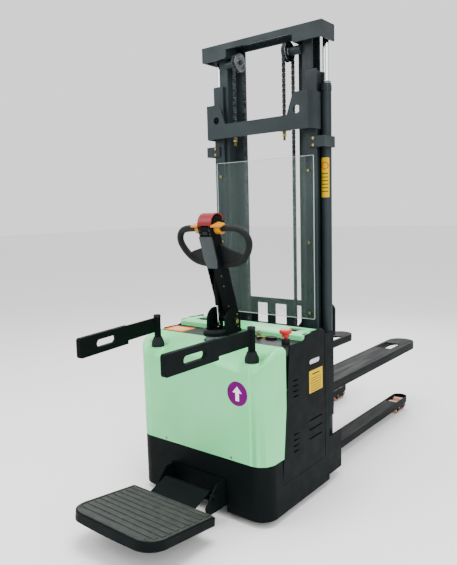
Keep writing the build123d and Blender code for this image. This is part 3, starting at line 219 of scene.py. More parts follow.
def joined(pieces, name):
    """Several meshes as one piece, each keeping its material."""
    bm = bmesh.new()
    materials = []
    for piece in pieces:
        start = len(bm.faces)
        bm.from_mesh(piece.data)
        bm.faces.ensure_lookup_table()
        own = piece.data.materials[0]
        if own not in materials:
            materials.append(own)
        for face in bm.faces[start:]:
            face.material_index = materials.index(own)
        bpy.data.objects.remove(piece)
    mesh = bpy.data.meshes.new(name)
    bm.to_mesh(mesh)
    bm.free()
    for material in materials:
        mesh.materials.append(material)
    return shade(linked(name, mesh))


def lathe(name, profile, material, matrix, steps=64):
    """A closed outline of (radius, height) points turned about the matrix's Z axis."""
    bm = bmesh.new()
    rings = []
    for step in range(steps):
        turn = 2 * pi * step / steps
        rings.append([bm.verts.new((r * cos(turn), r * sin(turn), h)) for r, h in profile])
    count = len(profile)
    for step in range(steps):
        here, there = rings[step], rings[(step + 1) % steps]
        for i in range(count):
            j = (i + 1) % count
            bm.faces.new((here[i], there[i], there[j], here[j]))
    bmesh.ops.remove_doubles(bm, verts=bm.verts, dist=1e-7)
    bmesh.ops.dissolve_degenerate(bm, edges=bm.edges, dist=1e-7)
    bmesh.ops.recalc_face_normals(bm, faces=bm.faces)
    return mesh_piece(name, bm, material, matrix)


def arc(cx, cy, radius, start, end, steps):
    """Points on an arc, angles in degrees."""
    turns = [radians(start + (end - start) * i / steps) for i in range(steps + 1)]
    return [(cx + radius * cos(t), cy + radius * sin(t)) for t in turns]


def with_round_corners(points, radius, steps=6):
    """A closed outline whose corners are arcs; radius is one value or one for each corner."""
    radii = radius if isinstance(radius, (list, tuple)) else [radius] * len(points)
    result = []
    for i, (point, r) in enumerate(zip(points, radii)):
        corner = Vector(point)
        before = (Vector(points[i - 1]) - corner).normalized()
        after = (Vector(points[(i + 1) % len(points)]) - corner).normalized()
        half = before.angle(after) / 2
        if r <= 0 or half > 1.55:
            result.append(tuple(corner))
            continue
        reach = r / tan(half)
        middle = corner + (before + after).normalized() * (r / sin(half))
        first, last = corner + before * reach - middle, corner + after * reach - middle
        sweep = first.angle_signed(last)
        for step in range(steps + 1):
            turn = Matrix.Rotation(-sweep * step / steps, 2)
            result.append(tuple(middle + turn @ first))
    return result


def from_curve(name, curve, material, matrix):
    """The mesh of a curve, in its place and in one material."""
    piece = linked(name, curve)
    piece.matrix_world = matrix
    piece = baked(piece)
    piece.data.materials.clear()
    piece.data.materials.append(material)
    return shade(piece)


def cut_sheet(name, outlines, thickness, material, matrix, edge=0.0005):
    """A flat plate from a closed outline and its holes, in the matrix's XY plane, with broken edges."""
    curve = bpy.data.curves.new(name, "CURVE")
    curve.dimensions = "2D"
    curve.fill_mode = "BOTH"
    curve.extrude = thickness / 2 - edge
    curve.bevel_depth = edge
    curve.bevel_resolution = 1
    curve.offset = -edge
    for outline in outlines:
        spline = curve.splines.new("POLY")
        spline.points.add(len(outline) - 1)
        for point, (x, y) in zip(spline.points, outline):
            point.co = (x, y, 0, 1)
        spline.use_cyclic_u = True
    return from_curve(name, curve, material, matrix @ Matrix.Translation((0, 0, thickness / 2)))


def pipe(name, points, radius, material, matrix, order=3, resolution=8, around=6):
    """A round bar or tube whose centreline is a smooth curve near the points."""
    curve = bpy.data.curves.new(name, "CURVE")
    curve.dimensions = "3D"
    curve.bevel_depth = radius
    curve.bevel_resolution = around
    curve.use_fill_caps = True
    spline = curve.splines.new("NURBS")
    spline.points.add(len(points) - 1)
    for point, place in zip(spline.points, points):
        point.co = (*place, 1)
    spline.order_u = order
    spline.use_endpoint_u = True
    spline.resolution_u = resolution
    return from_curve(name, curve, material, matrix)


def block(name, low, high, material, edge, matrix=None, segments=2):
    """A block between two corners with rounded edges."""
    bm = bmesh.new()
    bmesh.ops.create_cube(bm, size=1)
    size = [high[i] - low[i] for i in range(3)]
    middle = [(high[i] + low[i]) / 2 for i in range(3)]
    bm.transform(Matrix.Translation(middle) @ Matrix.Diagonal((*size, 1)))
    piece = mesh_piece(name, bm, material, matrix)
    return rounded_edges(piece, edge, segments)


# ---- what repeats ---------------------------------------------------------------------------------
def repeat_tree():
    """Sets one piece at every point, turned about X by the point's own turn."""
    tree = bpy.data.node_groups.get("Repeat")
    if tree:
        return tree
    tree = bpy.data.node_groups.new("Repeat", "GeometryNodeTree")
    tree.interface.new_socket("Geometry", in_out="INPUT", socket_type="NodeSocketGeometry")
    tree.interface.new_socket("Piece", in_out="INPUT", socket_type="NodeSocketObject")
    tree.interface.new_socket("Size", in_out="INPUT", socket_type="NodeSocketFloat")
    tree.interface.new_socket("Finish", in_out="INPUT", socket_type="NodeSocketMaterial")
    tree.interface.new_socket("Geometry", in_out="OUTPUT", socket_type="NodeSocketGeometry")
    inputs = add_node(tree, "NodeGroupInput")
    piece = add_node(tree, "GeometryNodeObjectInfo", links={"Object": inputs.outputs["Piece"]})
    turn = add_node(tree, "GeometryNodeInputNamedAttribute", {"Name": "turn"}, data_type="FLOAT")
    rotation = add_node(tree, "ShaderNodeCombineXYZ", links={"X": turn.outputs["Attribute"]})
    placed = add_node(tree, "GeometryNodeInstanceOnPoints", links={
        "Points": inputs.outputs["Geometry"], "Instance": piece.outputs["Geometry"],
        "Rotation": rotation.outputs["Vector"], "Scale": inputs.outputs["Size"]})
    real = add_node(tree, "GeometryNodeRealizeInstances", links={"Geometry": placed.outputs["Instances"]})
    finish = add_node(tree, "GeometryNodeSetMaterial", links={
        "Geometry": real.outputs["Geometry"], "Material": inputs.outputs["Finish"]})
    add_node(tree, "NodeGroupOutput", links={"Geometry": finish.outputs["Geometry"]})
    return tree


def set_input(modifier, name, value):
    """Sets a Geometry Nodes input by its socket's identifier."""
    for item in modifier.node_group.interface.items_tree:
        if item.name == name and item.in_out == "INPUT":
            modifier[item.identifier] = value


def repeated(name, prototype, places, material, turns=None, sharp=32.0):
    """Copies of a prototype at each place; the prototype is made at the origin and is used up."""
    mesh = bpy.data.meshes.new(name)
    mesh.from_pydata([tuple(place) for place in places], [], [])
    attribute = mesh.attributes.new("turn", "FLOAT", "POINT")
    attribute.data.foreach_set("value", turns or [0.0] * len(places))
    piece = linked(name, mesh)
    modifier = piece.modifiers.new("Repeat", "NODES")
    modifier.node_group = repeat_tree()
    set_input(modifier, "Piece", prototype)
    set_input(modifier, "Size", 1.0)
    set_input(modifier, "Finish", material)
    piece = baked(piece)
    bpy.data.objects.remove(prototype)
    return shade(piece, sharp)


# ---- materials ------------------------------------------------------------------------------------
def add_node(tree, kind, values=None, links=None, **properties):
    """Adds one node with its properties, its input values and what is linked to it."""
    node = tree.nodes.new(kind)
    for name, value in properties.items():
        setattr(node, name, value)
    for name, value in (values or {}).items():
        node.inputs[name].default_value = value
    for name, source in (links or {}).items():
        tree.links.new(source, node.inputs[name])
    return node


def pattern(tree, size_mm, detail=3.0, stretch=(1, 1, 1), distortion=0.0):
    """Noise whose features are about this many millimetres across, longer where stretch is small."""
    place = add_node(tree, "ShaderNodeTexCoord")
    mapping = add_node(tree, "ShaderNodeMapping", {"Scale": stretch}, {"Vector": place.outputs["Object"]})
    noise = add_node(tree, "ShaderNodeTexNoise",
                     {"Scale": 500 / size_mm, "Detail": detail, "Distortion": distortion},
                     {"Vector": mapping.outputs["Vector"]})
    return noise.outputs["Fac"]


def mapped(tree, source, low, high, start=0.35, end=0.65):
    """The pattern's middle range stretched to low..high."""
    node = add_node(tree, "ShaderNodeMapRange",
                    {"From Min": start, "From Max": end, "To Min": low, "To Max": high}, {"Value": source})
    return node.outputs["Result"]


def surface(name, colour, roughness, metallic=0.0, tones=None, rough=None, bump=None, **plain):
    """One material from its plain values and up to three patterns, each given as what pattern() takes.

    tones: pattern, first tone, second tone, and if wanted what mapped() takes to spread them.
    rough: pattern, lowest and highest roughness. bump: pattern, real depth in mm, strength.
    """
    material = bpy.data.materials.new(name)
    material.use_nodes = True
    tree = material.node_tree
    shader = tree.nodes["Principled BSDF"]
    shader.inputs["Base Color"].default_value = tone(colour)
    shader.inputs["Roughness"].default_value = roughness
    shader.inputs["Metallic"].default_value = metallic
    for socket, value in plain.items():
        shader.inputs[socket.replace("_", " ")].default_value = value
    if tones:
        grain, first, second, *spread = tones
        factor = mapped(tree, pattern(tree, *grain), *(spread or (0, 1)))
        mix = add_node(tree, "ShaderNodeMix", {6: tone(first), 7: tone(second)}, {0: factor}, data_type="RGBA")
        tree.links.new(mix.outputs[2], shader.inputs["Base Color"])
    if rough:
        grain, low, high = rough
        tree.links.new(mapped(tree, pattern(tree, *grain), low, high), shader.inputs["Roughness"])
    if bump:
        grain, depth_mm, strength = bump
        node = add_node(tree, "ShaderNodeBump", {"Distance": depth_mm * MM, "Strength": strength},
                        {"Height": pattern(tree, *grain)})
        tree.links.new(node.outputs["Normal"], shader.inputs["Normal"])
    return material


def gloss_plastic(name, colour, darker):
    """Injection-moulded gloss plastic of a control: saturated, with slight flow variation."""
    return dict(name=name, colour=colour, roughness=0.34, tones=((35, 3), darker, colour),
                bump=((1.5, 2), 0.02, 0.3), Coat_Weight=0.06, Coat_Roughness=0.15, Specular_IOR_Level=0.3)


def printed_vinyl(name, colour, second):
    """Printed vinyl label: flat colour, slight gloss, a little sun-faded."""
    return dict(name=name, colour=colour, roughness=0.42, tones=((40, 3), colour, second),
                rough=((12, 3), 0.38, 0.5), Specular_IOR_Level=0.04)


def recipes(colours):
    """What each finish is made of; the colours a user would change come from the settings."""
    return {
        # mint enamel sprayed on moulded covers: even, softly glossy, with a faint orange peel;
        # the peel of a real coat is 1 to 2 mm across, too fine to show, so it is drawn at 5 mm
        "mint_paint": dict(
            name="mint_sprayed_enamel", colour=colours.mint, roughness=0.34,
            tones=((180, 2), colours.mint, colours.mint_light), rough=((60, 4), 0.3, 0.4),
            bump=((5, 2), 0.05, 0.35), Coat_Weight=0.08, Coat_Roughness=0.2, Specular_IOR_Level=0.35),
        # slate grey stoving enamel on rolled steel: satin, a little uneven in gloss;
        # over mill scale it keeps a 2 mm ripple, drawn at 4 mm so that it shows
        "mast_paint": dict(
            name="slate_stoving_enamel", colour=colours.slate, roughness=0.42,
            tones=((140, 4), colours.slate, colours.slate_light), rough=((45, 5), 0.36, 0.52),
            bump=((4, 3), 0.06, 0.4), Specular_IOR_Level=0.2),
        # black powder coat on pressed steel: leathery, which breaks the highlight up; under 1 mm, drawn at 3 mm
        "black_paint": dict(
            name="black_powder_coat", colour=colours.black, roughness=0.5,
            tones=((200, 3), colours.black, colours.black_light), rough=((30, 5), 0.46, 0.56),
            bump=((3, 2), 0.09, 0.5), Specular_IOR_Level=0.05),
        # black chassis paint on forks and legs, rubbed satin where pallets slide along it
        "fork_paint": dict(
            name="black_chassis_paint", colour=colours.black, roughness=0.45,
            tones=((12, 6, (1, 0.08, 1)), colours.fork, colours.fork_light, 0, 0.6, 0.45, 0.75),
            rough=((12, 6, (1, 0.08, 1)), 0.42, 0.58), bump=((4, 3), 0.06, 0.35), Specular_IOR_Level=0.05),
        # black ABS moulding with a spark-eroded grain of 0.2 mm, drawn at 1.5 mm
        "black_plastic": dict(
            name="black_moulded_abs", colour=colours.plastic, roughness=0.48,
            tones=((90, 2), colours.plastic, "#0E1415"), bump=((1.5, 1), 0.05, 0.4), Specular_IOR_Level=0.2),
        # thermoplastic rubber grip over the handle: matt, faintly dusty
        "grip_plastic": dict(
            name="soft_touch_tpe", colour=colours.plastic, roughness=0.62, rough=((25, 4), 0.55, 0.7),
            bump=((1.8, 2), 0.08, 0.5), Sheen_Weight=0.04, Sheen_Roughness=0.5, Specular_IOR_Level=0.2),
        # grey-green ABS of the tiller's front cover, a shade lighter than the handle, satin
        "head_plastic": dict(
            name="grey_moulded_abs", colour="#1E282C", roughness=0.42, tones=((70, 2), "#1A2327", "#232E32"),
            bump=((1.5, 1), 0.05, 0.4)),
        # vulcanised rubber of the boots: dull, with a bloom of pale dust
        "boot_rubber": dict(
            name="vulcanised_rubber", colour="#121617", roughness=0.7,
            tones=((30, 5), "#0A0E0F", "#171C1D", 0, 1, 0.4, 0.8), bump=((2.5, 3), 0.08, 0.4),
            Specular_IOR_Level=0.2),
        # ribbed anti-fatigue mat: dark rubber, greyed in the grooves and scuffed on the ribs;
        # the moulding's leather grain is 1 mm, drawn at 3 mm
        "mat_rubber": dict(
            name="ribbed_mat_rubber", colour="#2B2E2D", roughness=0.72,
            tones=((14, 6), "#262A29", "#393B38", 0, 1, 0.38, 0.7), rough=((14, 6), 0.62, 0.82),
            bump=((3, 3), 0.18, 0.6), Specular_IOR_Level=0.35),
        # cast polyurethane of the load rollers: tan, waxy, darker where it has picked up dirt
        "roller_polyurethane": dict(
            name="cast_polyurethane", colour="#A06C4E", roughness=0.38, tones=((16, 5), "#8E5B40", "#B47E60"),
            bump=((3, 4, (0.2, 1, 1)), 0.08, 0.4), Subsurface_Weight=0.05, Coat_Weight=0.1),
        # vulcanised drive tyre, dark brown with fine scuffing
        "drive_tyre": dict(
            name="drive_tyre_compound", colour="#5A3A28", roughness=0.55, tones=((14, 5), "#4A3022", "#6D4833"),
            bump=((2.5, 4), 0.1, 0.5)),
        # grey rubber castor tyre, matt
        "castor_tyre": dict(
            name="castor_tyre_rubber", colour="#33373A", roughness=0.65, rough=((12, 4), 0.58, 0.75),
            bump=((3, 3), 0.08, 0.4)),
        # turned steel of axles and pulleys: fine tool rings and an oily film
        "bare_steel": dict(
            name="turned_steel", colour="#5C6164", roughness=0.32, metallic=1.0,
            tones=((18, 4), "#4A4F52", "#6C7174"), rough=((8, 5), 0.24, 0.42),
            bump=((2, 2, (4, 1, 1)), 0.04, 0.35)),
        # leaf chain: dark blued steel, wet with oil, so it glints on its plate edges
        "chain_steel": dict(
            name="oiled_chain_steel", colour="#2C3032", roughness=0.4, metallic=1.0,
            tones=((9, 4), "#1E2123", "#4A4F51"), rough=((5, 4), 0.25, 0.5)),
        # hard chrome on the piston rods: bright, ground along their length
        "chrome_rod": dict(
            name="hard_chrome", colour="#D6DADC", roughness=0.12, metallic=1.0,
            rough=((6, 3, (1, 1, 0.05)), 0.08, 0.18), bump=((2, 2, (1, 1, 0.03)), 0.01, 0.2)),
        # yellow passivated zinc on bolts and nuts, which drifts between brass and grey-green
        "zinc_bolt": dict(
            name="yellow_zinc_plate", colour="#8F8455", roughness=0.35, metallic=1.0,
            tones=((7, 3), "#7F7856", "#A08E4C"), rough=((4, 3), 0.28, 0.42)),
        # worn nickel-silver key blank
        "key_brass": dict(
            name="nickel_silver", colour="#A39468", roughness=0.3, metallic=1.0,
            tones=((5, 4), "#8D835F", "#B7AC86")),
        # clear guard sheet: nearly invisible face on, with a green-grey cast and a haze of wipe marks
        "clear_screen": dict(
            name="clear_polycarbonate", colour="#7F928C", roughness=0.06, rough=((60, 6, (1, 1, 0.3)), 0.04, 0.12),
            Alpha=0.07, IOR=1.58, Specular_IOR_Level=0.3),
        # edge of the guard sheet: a pale green-white, partly opaque colour, a painted highlight that stands in for
        # the light the clear edge gathers
        "screen_edge_highlight": dict(
            name="flamed_polycarbonate_edge", colour="#C4D4CC", roughness=0.3, rough=((15, 3), 0.2, 0.4),
            Alpha=0.65),
        # natural nylon slide pads: ivory, waxy
        "pad_plastic": dict(name="natural_nylon", colour=colours.nylon, roughness=0.4, rough=((10, 3), 0.34, 0.5)),
        # seamless pale studio floor, matt
        "floor": dict(name="studio_floor", colour=colours.floor, roughness=0.85, rough=((400, 2), 0.8, 0.9)),
        "stop_red": gloss_plastic("red_gloss_nylon", "#B80409", "#A60308"),
        "cap_red": gloss_plastic("red_satin_abs", "#7E141C", "#721017"),
        "paddle_orange": gloss_plastic("orange_gloss_nylon", "#C67C04", "#B87002"),
        "battery_case": gloss_plastic("grey_polypropylene", "#4A5357", "#3D4549"),
        "motor_paint": gloss_plastic("grey_motor_enamel", "#5A6266", "#4C5458"),
        "handle_liner": gloss_plastic("pale_grey_abs", "#C9CFCE", "#BCC3C2"),
        "label_yellow": printed_vinyl("yellow_printed_vinyl", "#CDA800", "#C5A100"),
        "label_orange": printed_vinyl("orange_printed_vinyl", "#E07A00", "#D87400"),
        "label_purple": printed_vinyl("purple_printed_vinyl", "#6A0068", "#62005F"),
        "label_white": printed_vinyl("white_printed_vinyl", "#F4F4F2", "#EAEAE8"),
        "label_dark": printed_vinyl("dark_printed_vinyl", "#2B2B22", "#37372C"),
        "label_red": printed_vinyl("red_printed_vinyl", "#C8262B", "#BA2026"),
    }


MADE = {}


def finish(name):
    """The material of that name, made the first time it is asked for."""
    if name not in MADE:
        MADE[name] = surface(**recipes(bpy.context.scene.stacker_colours)[name])
    return MADE[name]


def soften(width, *nodes, segments=2, material=None):
    for node in nodes:
        softened(node, finish(material or SLOT_OF[node]), width, segments)


# ---- frames that several pieces share -------------------------------------------------------------
LEAN = radians(17.9)
TILLER = frame_at(TILT, (1, 0, 0), (0, -sin(LEAN), cos(LEAN)))
DROOP = radians(7.4)
STEP = frame_at((0, -0.796, 0.135), (1, 0, 0), (0, sin(DROOP), cos(DROOP)))
FACING_OUT = Matrix(((1, 0, 0, 0), (0, 0, -1, 0), (0, 1, 0, 0), (0, 0, 0, 1)))    # a sheet that faces the operator
TO_RIGHT = Matrix(((0, 0, 1, 0), (1, 0, 0, 0), (0, 1, 0, 0), (0, 0, 0, 1)))       # a sheet that faces +X


def at(x, y, z, turn=Matrix.Identity(4)):
    return Matrix.Translation((x, y, z)) @ turn


def oblong(width, height, radius, cx=0.0, cy=0.0):
    corners = [(cx - width / 2, cy - height / 2), (cx + width / 2, cy - height / 2),
               (cx + width / 2, cy + height / 2), (cx - width / 2, cy + height / 2)]
    return with_round_corners(corners, radius, 4)


def hexagon_head(name, across_flats, height, washer, direction):
    """A bolt head on its washer; direction turns +Z to where the head faces."""
    bm = bmesh.new()
    outer = across_flats / sqrt(3)
    rings = [(outer, 0.0012), (outer, height - 0.0015), (outer * 0.84, height), (outer * 0.5, height)]
    loops = []
    for radius, level in rings:
        loops.append([bm.verts.new((radius * cos(radians(60 * i)), radius * sin(radians(60 * i)), level))
                      for i in range(6)])
    for low_ring, high_ring in zip(loops, loops[1:]):
        for i in range(6):
            bm.faces.new((low_ring[i], low_ring[(i + 1) % 6], high_ring[(i + 1) % 6], high_ring[i]))
    bm.faces.new(loops[-1])
    bm.faces.new(loops[0][::-1])
    bmesh.ops.create_cone(bm, cap_ends=True, segments=20, radius1=washer, radius2=washer, depth=0.0018,
                          matrix=Matrix.Translation((0, 0, 0.0009)))
    bmesh.ops.recalc_face_normals(bm, faces=bm.faces)
    return mesh_piece(name, bm, finish("zinc_bolt"), direction)


def screw_head(name, radius, height, direction):
    """A domed screw head with a socket."""
    profile = [(radius * 0.42, height * 0.35), (radius * 0.45, height), (radius * 0.75, height * 0.9),
               (radius, height * 0.4), (radius, 0.0), (0.0001, 0.0), (0.0001, height * 0.35)]
    return lathe(name, profile, finish("zinc_bolt"), direction, 16)


# ---- operators ------------------------------------------------------------------------------------
class STACKER_OT_chassis(bpy.types.Operator):
    """Chassis, legs, skirt and what the body holds, as folded and welded plate with broken edges"""
    bl_idname = "stacker.chassis"
    bl_label = "Chassis and legs"

    def execute(self, context):
        sizes = context.scene.stacker_sizes
        soften(sizes.plate_edge, "chassis_frame", "skirt", "platform_bracket")
        soften(sizes.plate_edge * 1.4, "support_leg_left", "support_leg_right", material="fork_paint")
        soften(0.0006, "load_roller_axles", "mast_slide_pads")
        soften(0.003, "battery_pack", "power_units")
        return {"FINISHED"}


class STACKER_OT_cover(bpy.types.Operator):
    """Moulded front cover with wells round the guard posts, a raised middle and risen shoulders"""
    bl_idname = "stacker.cover"
    bl_label = "Front cover"

    def execute(self, context):
        sizes = context.scene.stacker_sizes
        back, fall = -0.541, tan(radians(24))
        bm = merged("front_cover")
        cuts = [((x * sizes.cover_grid, 0, 0), (1, 0, 0)) for x in range(-57, 58)]
        cuts += [((0, back - y * sizes.cover_grid, 0), (0, 1, 0)) for y in range(1, 25)]
        cuts += [((0, 0, 0.66 + z * 0.02), (0, 0, 1)) for z in range(5)]
        for place, normal in cuts:
            sliced(bm, place, normal)
        for vert in bm.verts:
            x, y, z = abs(vert.co.x), vert.co.y, vert.co.z
            plane = 0.82 - (back - y) * fall
            near_top = smooth(plane - 0.1, plane - 0.012, z)
            forward = smooth(0.004, 0.085, back - y)
            middle = 1 - smooth(0.085, 0.15, x)
            shoulder = smooth(0.33, 0.395, x)
            reach = (Vector((x, y)) - POST).length
            rise = sizes.ridge_rise * middle + sizes.shoulder_rise * shoulder
            dip = sizes.front_dip * smooth(0.08, 0.165, back - y) * (1 - smooth(0.05, 0.14, abs(x - POST.x)))
            shift = rise * forward - dip
            shift += (sizes.well_level - plane - shift) * (1 - smooth(0.042, 0.064, reach))
            shift *= near_top
            vert.co.z += shift
            side = 1 if vert.co.x > 0 else -1
            corner = Vector((side * 0.322, -0.629))
            arm = vert.co.xy - corner
            if arm.x * side > 0 and arm.y < 0 and z < plane - 0.026:
                radius = 0.085 if arm.length > 0.0822 else 0.081
                if abs(arm.length - radius) < 0.0025:
                    vert.co.xy = corner + arm.normalized() * radius
            vert.co.x -= side * 0.0012 * smooth(0.38, 0.4, x)
        cover = mesh_piece("front_cover_looks", bm, finish("mint_paint"))
        smoothing = cover.modifiers.new("Soft", "LAPLACIANSMOOTH")
        smoothing.iterations = 2
        smoothing.lambda_factor = 0.2
        smoothing.lambda_border = 0.0
        cover = baked(cover)
        for vert in cover.data.vertices:
            vert.co.x = max(-0.4068, min(0.4068, vert.co.x))
        hand_over(shade(cover, 38), "front_cover")
        floors = []
        for sign in (-1, 1):
            ring = [(0.024, 0.0), (0.046, 0.0), (0.0485, 0.001), (0.0485, -0.004), (0.024, -0.004)]
            floors.append(lathe("floor", ring, finish("mint_paint"), at(sign * POST.x, POST.y, 0.7635)))
        hand_over(joined(floors, "cover_well_floors"), body="base")
        return {"FINISHED"}


class STACKER_OT_panels(bpy.types.Operator):
    """Textured side panels, control deck and battery lid with its recessed handles"""
    bl_idname = "stacker.panels"
    bl_label = "Side panels and lid"

    def execute(self, context):
        for side, sign in (("left", -1), ("right", 1)):
            node = f"side_panel_{side}"
            bm = merged(node)
            panel = mesh_piece(f"{node}_looks", bm, finish("black_paint"), at(-sign * 0.0008, 0, 0))
            hand_over(rounded_edges(panel, 0.0012), node)
            lips = []
            for foot in (0.566, 0.592, 0.618, 0.644, 0.296, 0.324, 0.352, 0.38):
                lips.append((sign * 0.4046, -0.456, foot + 0.0095))
            lip = block("lip", (-0.0012, -0.0255, -0.0038), (0.0012, 0.0255, 0.003), finish("black_paint"), 0.001)
            row = repeated(f"louvre_lips_{side}", lip, lips, finish("black_paint"), [sign * -0.12] * len(lips))
            hand_over(row, body="base")
            wide = [(sign * 0.4046, -0.273, foot + 0.0155) for foot in (0.312, 0.359, 0.406)]
            lip = block("lip", (-0.0014, -0.0635, -0.009), (0.0014, 0.0635, 0.0022), finish("black_paint"), 0.0012)
            row = repeated(f"wide_louvre_lips_{side}", lip, wide, finish("black_paint"))
            hand_over(row, body="base")
            liner = cut_sheet(f"handle_slot_liner_{side}", [oblong(0.108, 0.032, 0.0155)], 0.0015,
                              finish("handle_liner"), at(sign * 0.4005, -0.278, 0.702, TO_RIGHT), 0.0004)
            hand_over(liner, body="base")
        soften(0.0015, "control_deck")
        soften(0.004, "battery_lid", segments=3)
        # across from the middle, along and up; each is made on both sides
        tray = ((0.258, 0.327), (-0.328, -0.244), (0.8365, 0.8385), 0.0008)
        bar = ((0.258, 0.327), (-0.3, -0.276), (0.8385, 0.8492), 0.004)
        trim = ((0.386, 0.4025), (-0.372, -0.19), (0.823, 0.8495), 0.004)
        for title, name, shapes in (("lid_handles", "grip", (tray, bar)), ("lid_side_trims", "trim", (trim,))):
            parts = []
            for sign in (-1, 1):
                for across, along, up, edge in shapes:
                    low, high = sorted(sign * x for x in across)
                    parts.append(block(name, (low, along[0], up[0]), (high, along[1], up[1]),
                                       finish("black_plastic"), edge))
            hand_over(joined(parts, title), body=BODY_OF["battery_lid"])
        return {"FINISHED"}


class STACKER_OT_mast(bpy.types.Operator):
    """Rolled mast channels, ties, cross plates, cylinders, chrome rods and the clear guard screen"""
    bl_idname = "stacker.mast"
    bl_label = "Mast"

    def execute(self, context):
        sizes = context.scene.stacker_sizes
        soften(sizes.rolled_edge, "outer_mast_left", "outer_mast_right", "inner_mast_left", "inner_mast_right",
               segments=3)
        soften(sizes.plate_edge, "mast_cross_plates", "inner_mast_ties", "cylinder_clamps")
        soften(0.001, "lift_cylinder_left", "lift_cylinder_right", "piston_rods", "guard_screen")
        # a thin pale frame over the screen's edge: a painted highlight where the clear sheet catches light
        edge = cut_sheet("guard_screen_edge", [oblong(0.632, 0.844, 0.006), oblong(0.6275, 0.8395, 0.004)[::-1]],
                         0.0058, finish("screen_edge_highlight"), at(0, -0.1151, 1.295, FACING_OUT), 0.0006)
        hand_over(edge, body="base")
        seals = []
        for sign in (-1, 1):
            x, y = sign * CYLINDER[0], CYLINDER[1]
            wiper = [(0.0171, 0), (0.0245, 0), (0.0245, 0.007), (0.022, 0.012), (0.0171, 0.013)]
            gland = [(0.0272, 0), (0.029, 0.002), (0.029, 0.026), (0.0272, 0.028)]
            seals.append(lathe("seal", wiper, finish("bare_steel"), at(x, y, 2.0712)))
            seals.append(lathe("gland", gland, finish("mast_paint"), at(x, y, 2.034)))
        hand_over(joined(seals, "cylinder_glands"), body="base")
        return {"FINISHED"}


class STACKER_OT_chains(bpy.types.Operator):
    """Leaf chains: laced plates on pins, stretched between anchor, pulley and carriage"""
    bl_idname = "stacker.chains"
    bl_label = "Lift chains"

    @staticmethod
    def plates(name, offsets, pitch):
        """Side-by-side figure-of-eight plates and the pin through their upper ends."""
        bm = bmesh.new()
        half, waist, thick, pin, pin_length = 0.0055, 0.0034, 0.0026, 0.0036, 0.0186
        outline = [(y, z + pitch / 2) for y, z in arc(0, 0, half, 0, 180, 4)]
        outline += [(-y, -z - pitch / 2) for y, z in arc(0, 0, half, 0, 180, 4)]
        outline[5:5] = [(-waist, 0.0)]
        outline.append((waist, 0.0))
        for offset in offsets:
            sides = [[bm.verts.new((offset + dx, y, z)) for y, z in outline] for dx in (-thick / 2, thick / 2)]
            bm.faces.new(sides[0][::-1])
            bm.faces.new(sides[1])
            for i in range(len(outline)):
                j = (i + 1) % len(outline)
                bm.faces.new((sides[0][i], sides[0][j], sides[1][j], sides[1][i]))
        bmesh.ops.create_cone(bm, cap_ends=True, segments=8, radius1=pin, radius2=pin, depth=pin_length,
                              matrix=Matrix.Translation((0, 0, pitch / 2)) @ Matrix.Rotation(pi / 2, 4, "Y"))
        bmesh.ops.recalc_face_normals(bm, faces=bm.faces)
        return mesh_piece(name, bm, finish("chain_steel"))

    def strand(self, name, places, turns, pitch):
        pieces = []
        for start, offsets in ((0, (-0.0072, 0.0, 0.0072)), (1, (-0.0036, 0.0036))):
            link = self.plates("link", offsets, pitch)
            spots, spins = places[start::2], turns[start::2]
            both = [(sign * CHAIN_X, y, z) for sign in (-1, 1) for y, z in spots]
            pieces.append(repeated(f"{name}_{start}", link, both, finish("chain_steel"), list(spins) * 2))
        return joined(pieces, name)

    def execute(self, context):
        pitch = context.scene.stacker_sizes.chain_pitch
        for node, y, foot, top, bodies in (
                ("lift_chains_front", PULLEY_Y - WRAP, 1.862, PULLEY_Z, ("base", "inner_mast")),
                ("lift_chains_rear", PULLEY_Y + WRAP, 0.78, PULLEY_Z, ("inner_mast", "carriage"))):
            count = round((top - foot) / pitch)
            step = (top - foot) / count
            places = [(y, foot + step * (i + 0.5)) for i in range(count)]
            piece = self.strand(f"{node}_links", places, [0.0] * count, step)
            ends = [(0, 0, foot), (0, 0, top)]
            if bodies[0] == "inner_mast":
                ends.reverse()
            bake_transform(piece)
            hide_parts(node)
        count = 11
        turns = [pi * (i + 0.5) / count for i in range(count)]
        places = [(PULLEY_Y + WRAP * cos(t), PULLEY_Z + WRAP * sin(t)) for t in turns]
        hand_over(self.strand("chain_wrap_links", places, turns, pi * WRAP / count), "chain_wraps")
        return {"FINISHED"}


class STACKER_OT_pulleys(bpy.types.Operator):
    """Turned chain pulleys with a dished web between hub and rim"""
    bl_idname = "stacker.pulleys"
    bl_label = "Chain pulleys"

    def execute(self, context):
        half = [(0.0126, 0.012), (0.021, 0.012), (0.023, 0.0085), (0.033, 0.0085), (0.036, 0.012),
                (0.0488, 0.012), (0.05, 0.0108), (0.05, 0.0098), (0.0385, 0.0091)]
        profile = half + [(r, -h) for r, h in reversed(half)]
        turn = Matrix.Rotation(pi / 2, 4, "Y")
        wheels = [lathe("pulley", profile, finish("bare_steel"), at(sign * CHAIN_X, PULLEY_Y, PULLEY_Z, turn))
                  for sign in (-1, 1)]
        hand_over(joined(wheels, "chain_pulleys_looks"), "chain_pulleys")
        return {"FINISHED"}


class STACKER_OT_carriage(bpy.types.Operator):
    """Fork carriage, its rollers, the load backrest and the forks"""
    bl_idname = "stacker.carriage"
    bl_label = "Carriage and forks"

    def execute(self, context):
        sizes = context.scene.stacker_sizes
        soften(sizes.plate_edge, "fork_carriage", "load_backrest")
        soften(sizes.plate_edge * 1.6, "fork_left", "fork_right", segments=3, material="fork_paint")
        soften(0.002, "carriage_rollers_lower", "carriage_rollers_upper")
        return {"FINISHED"}


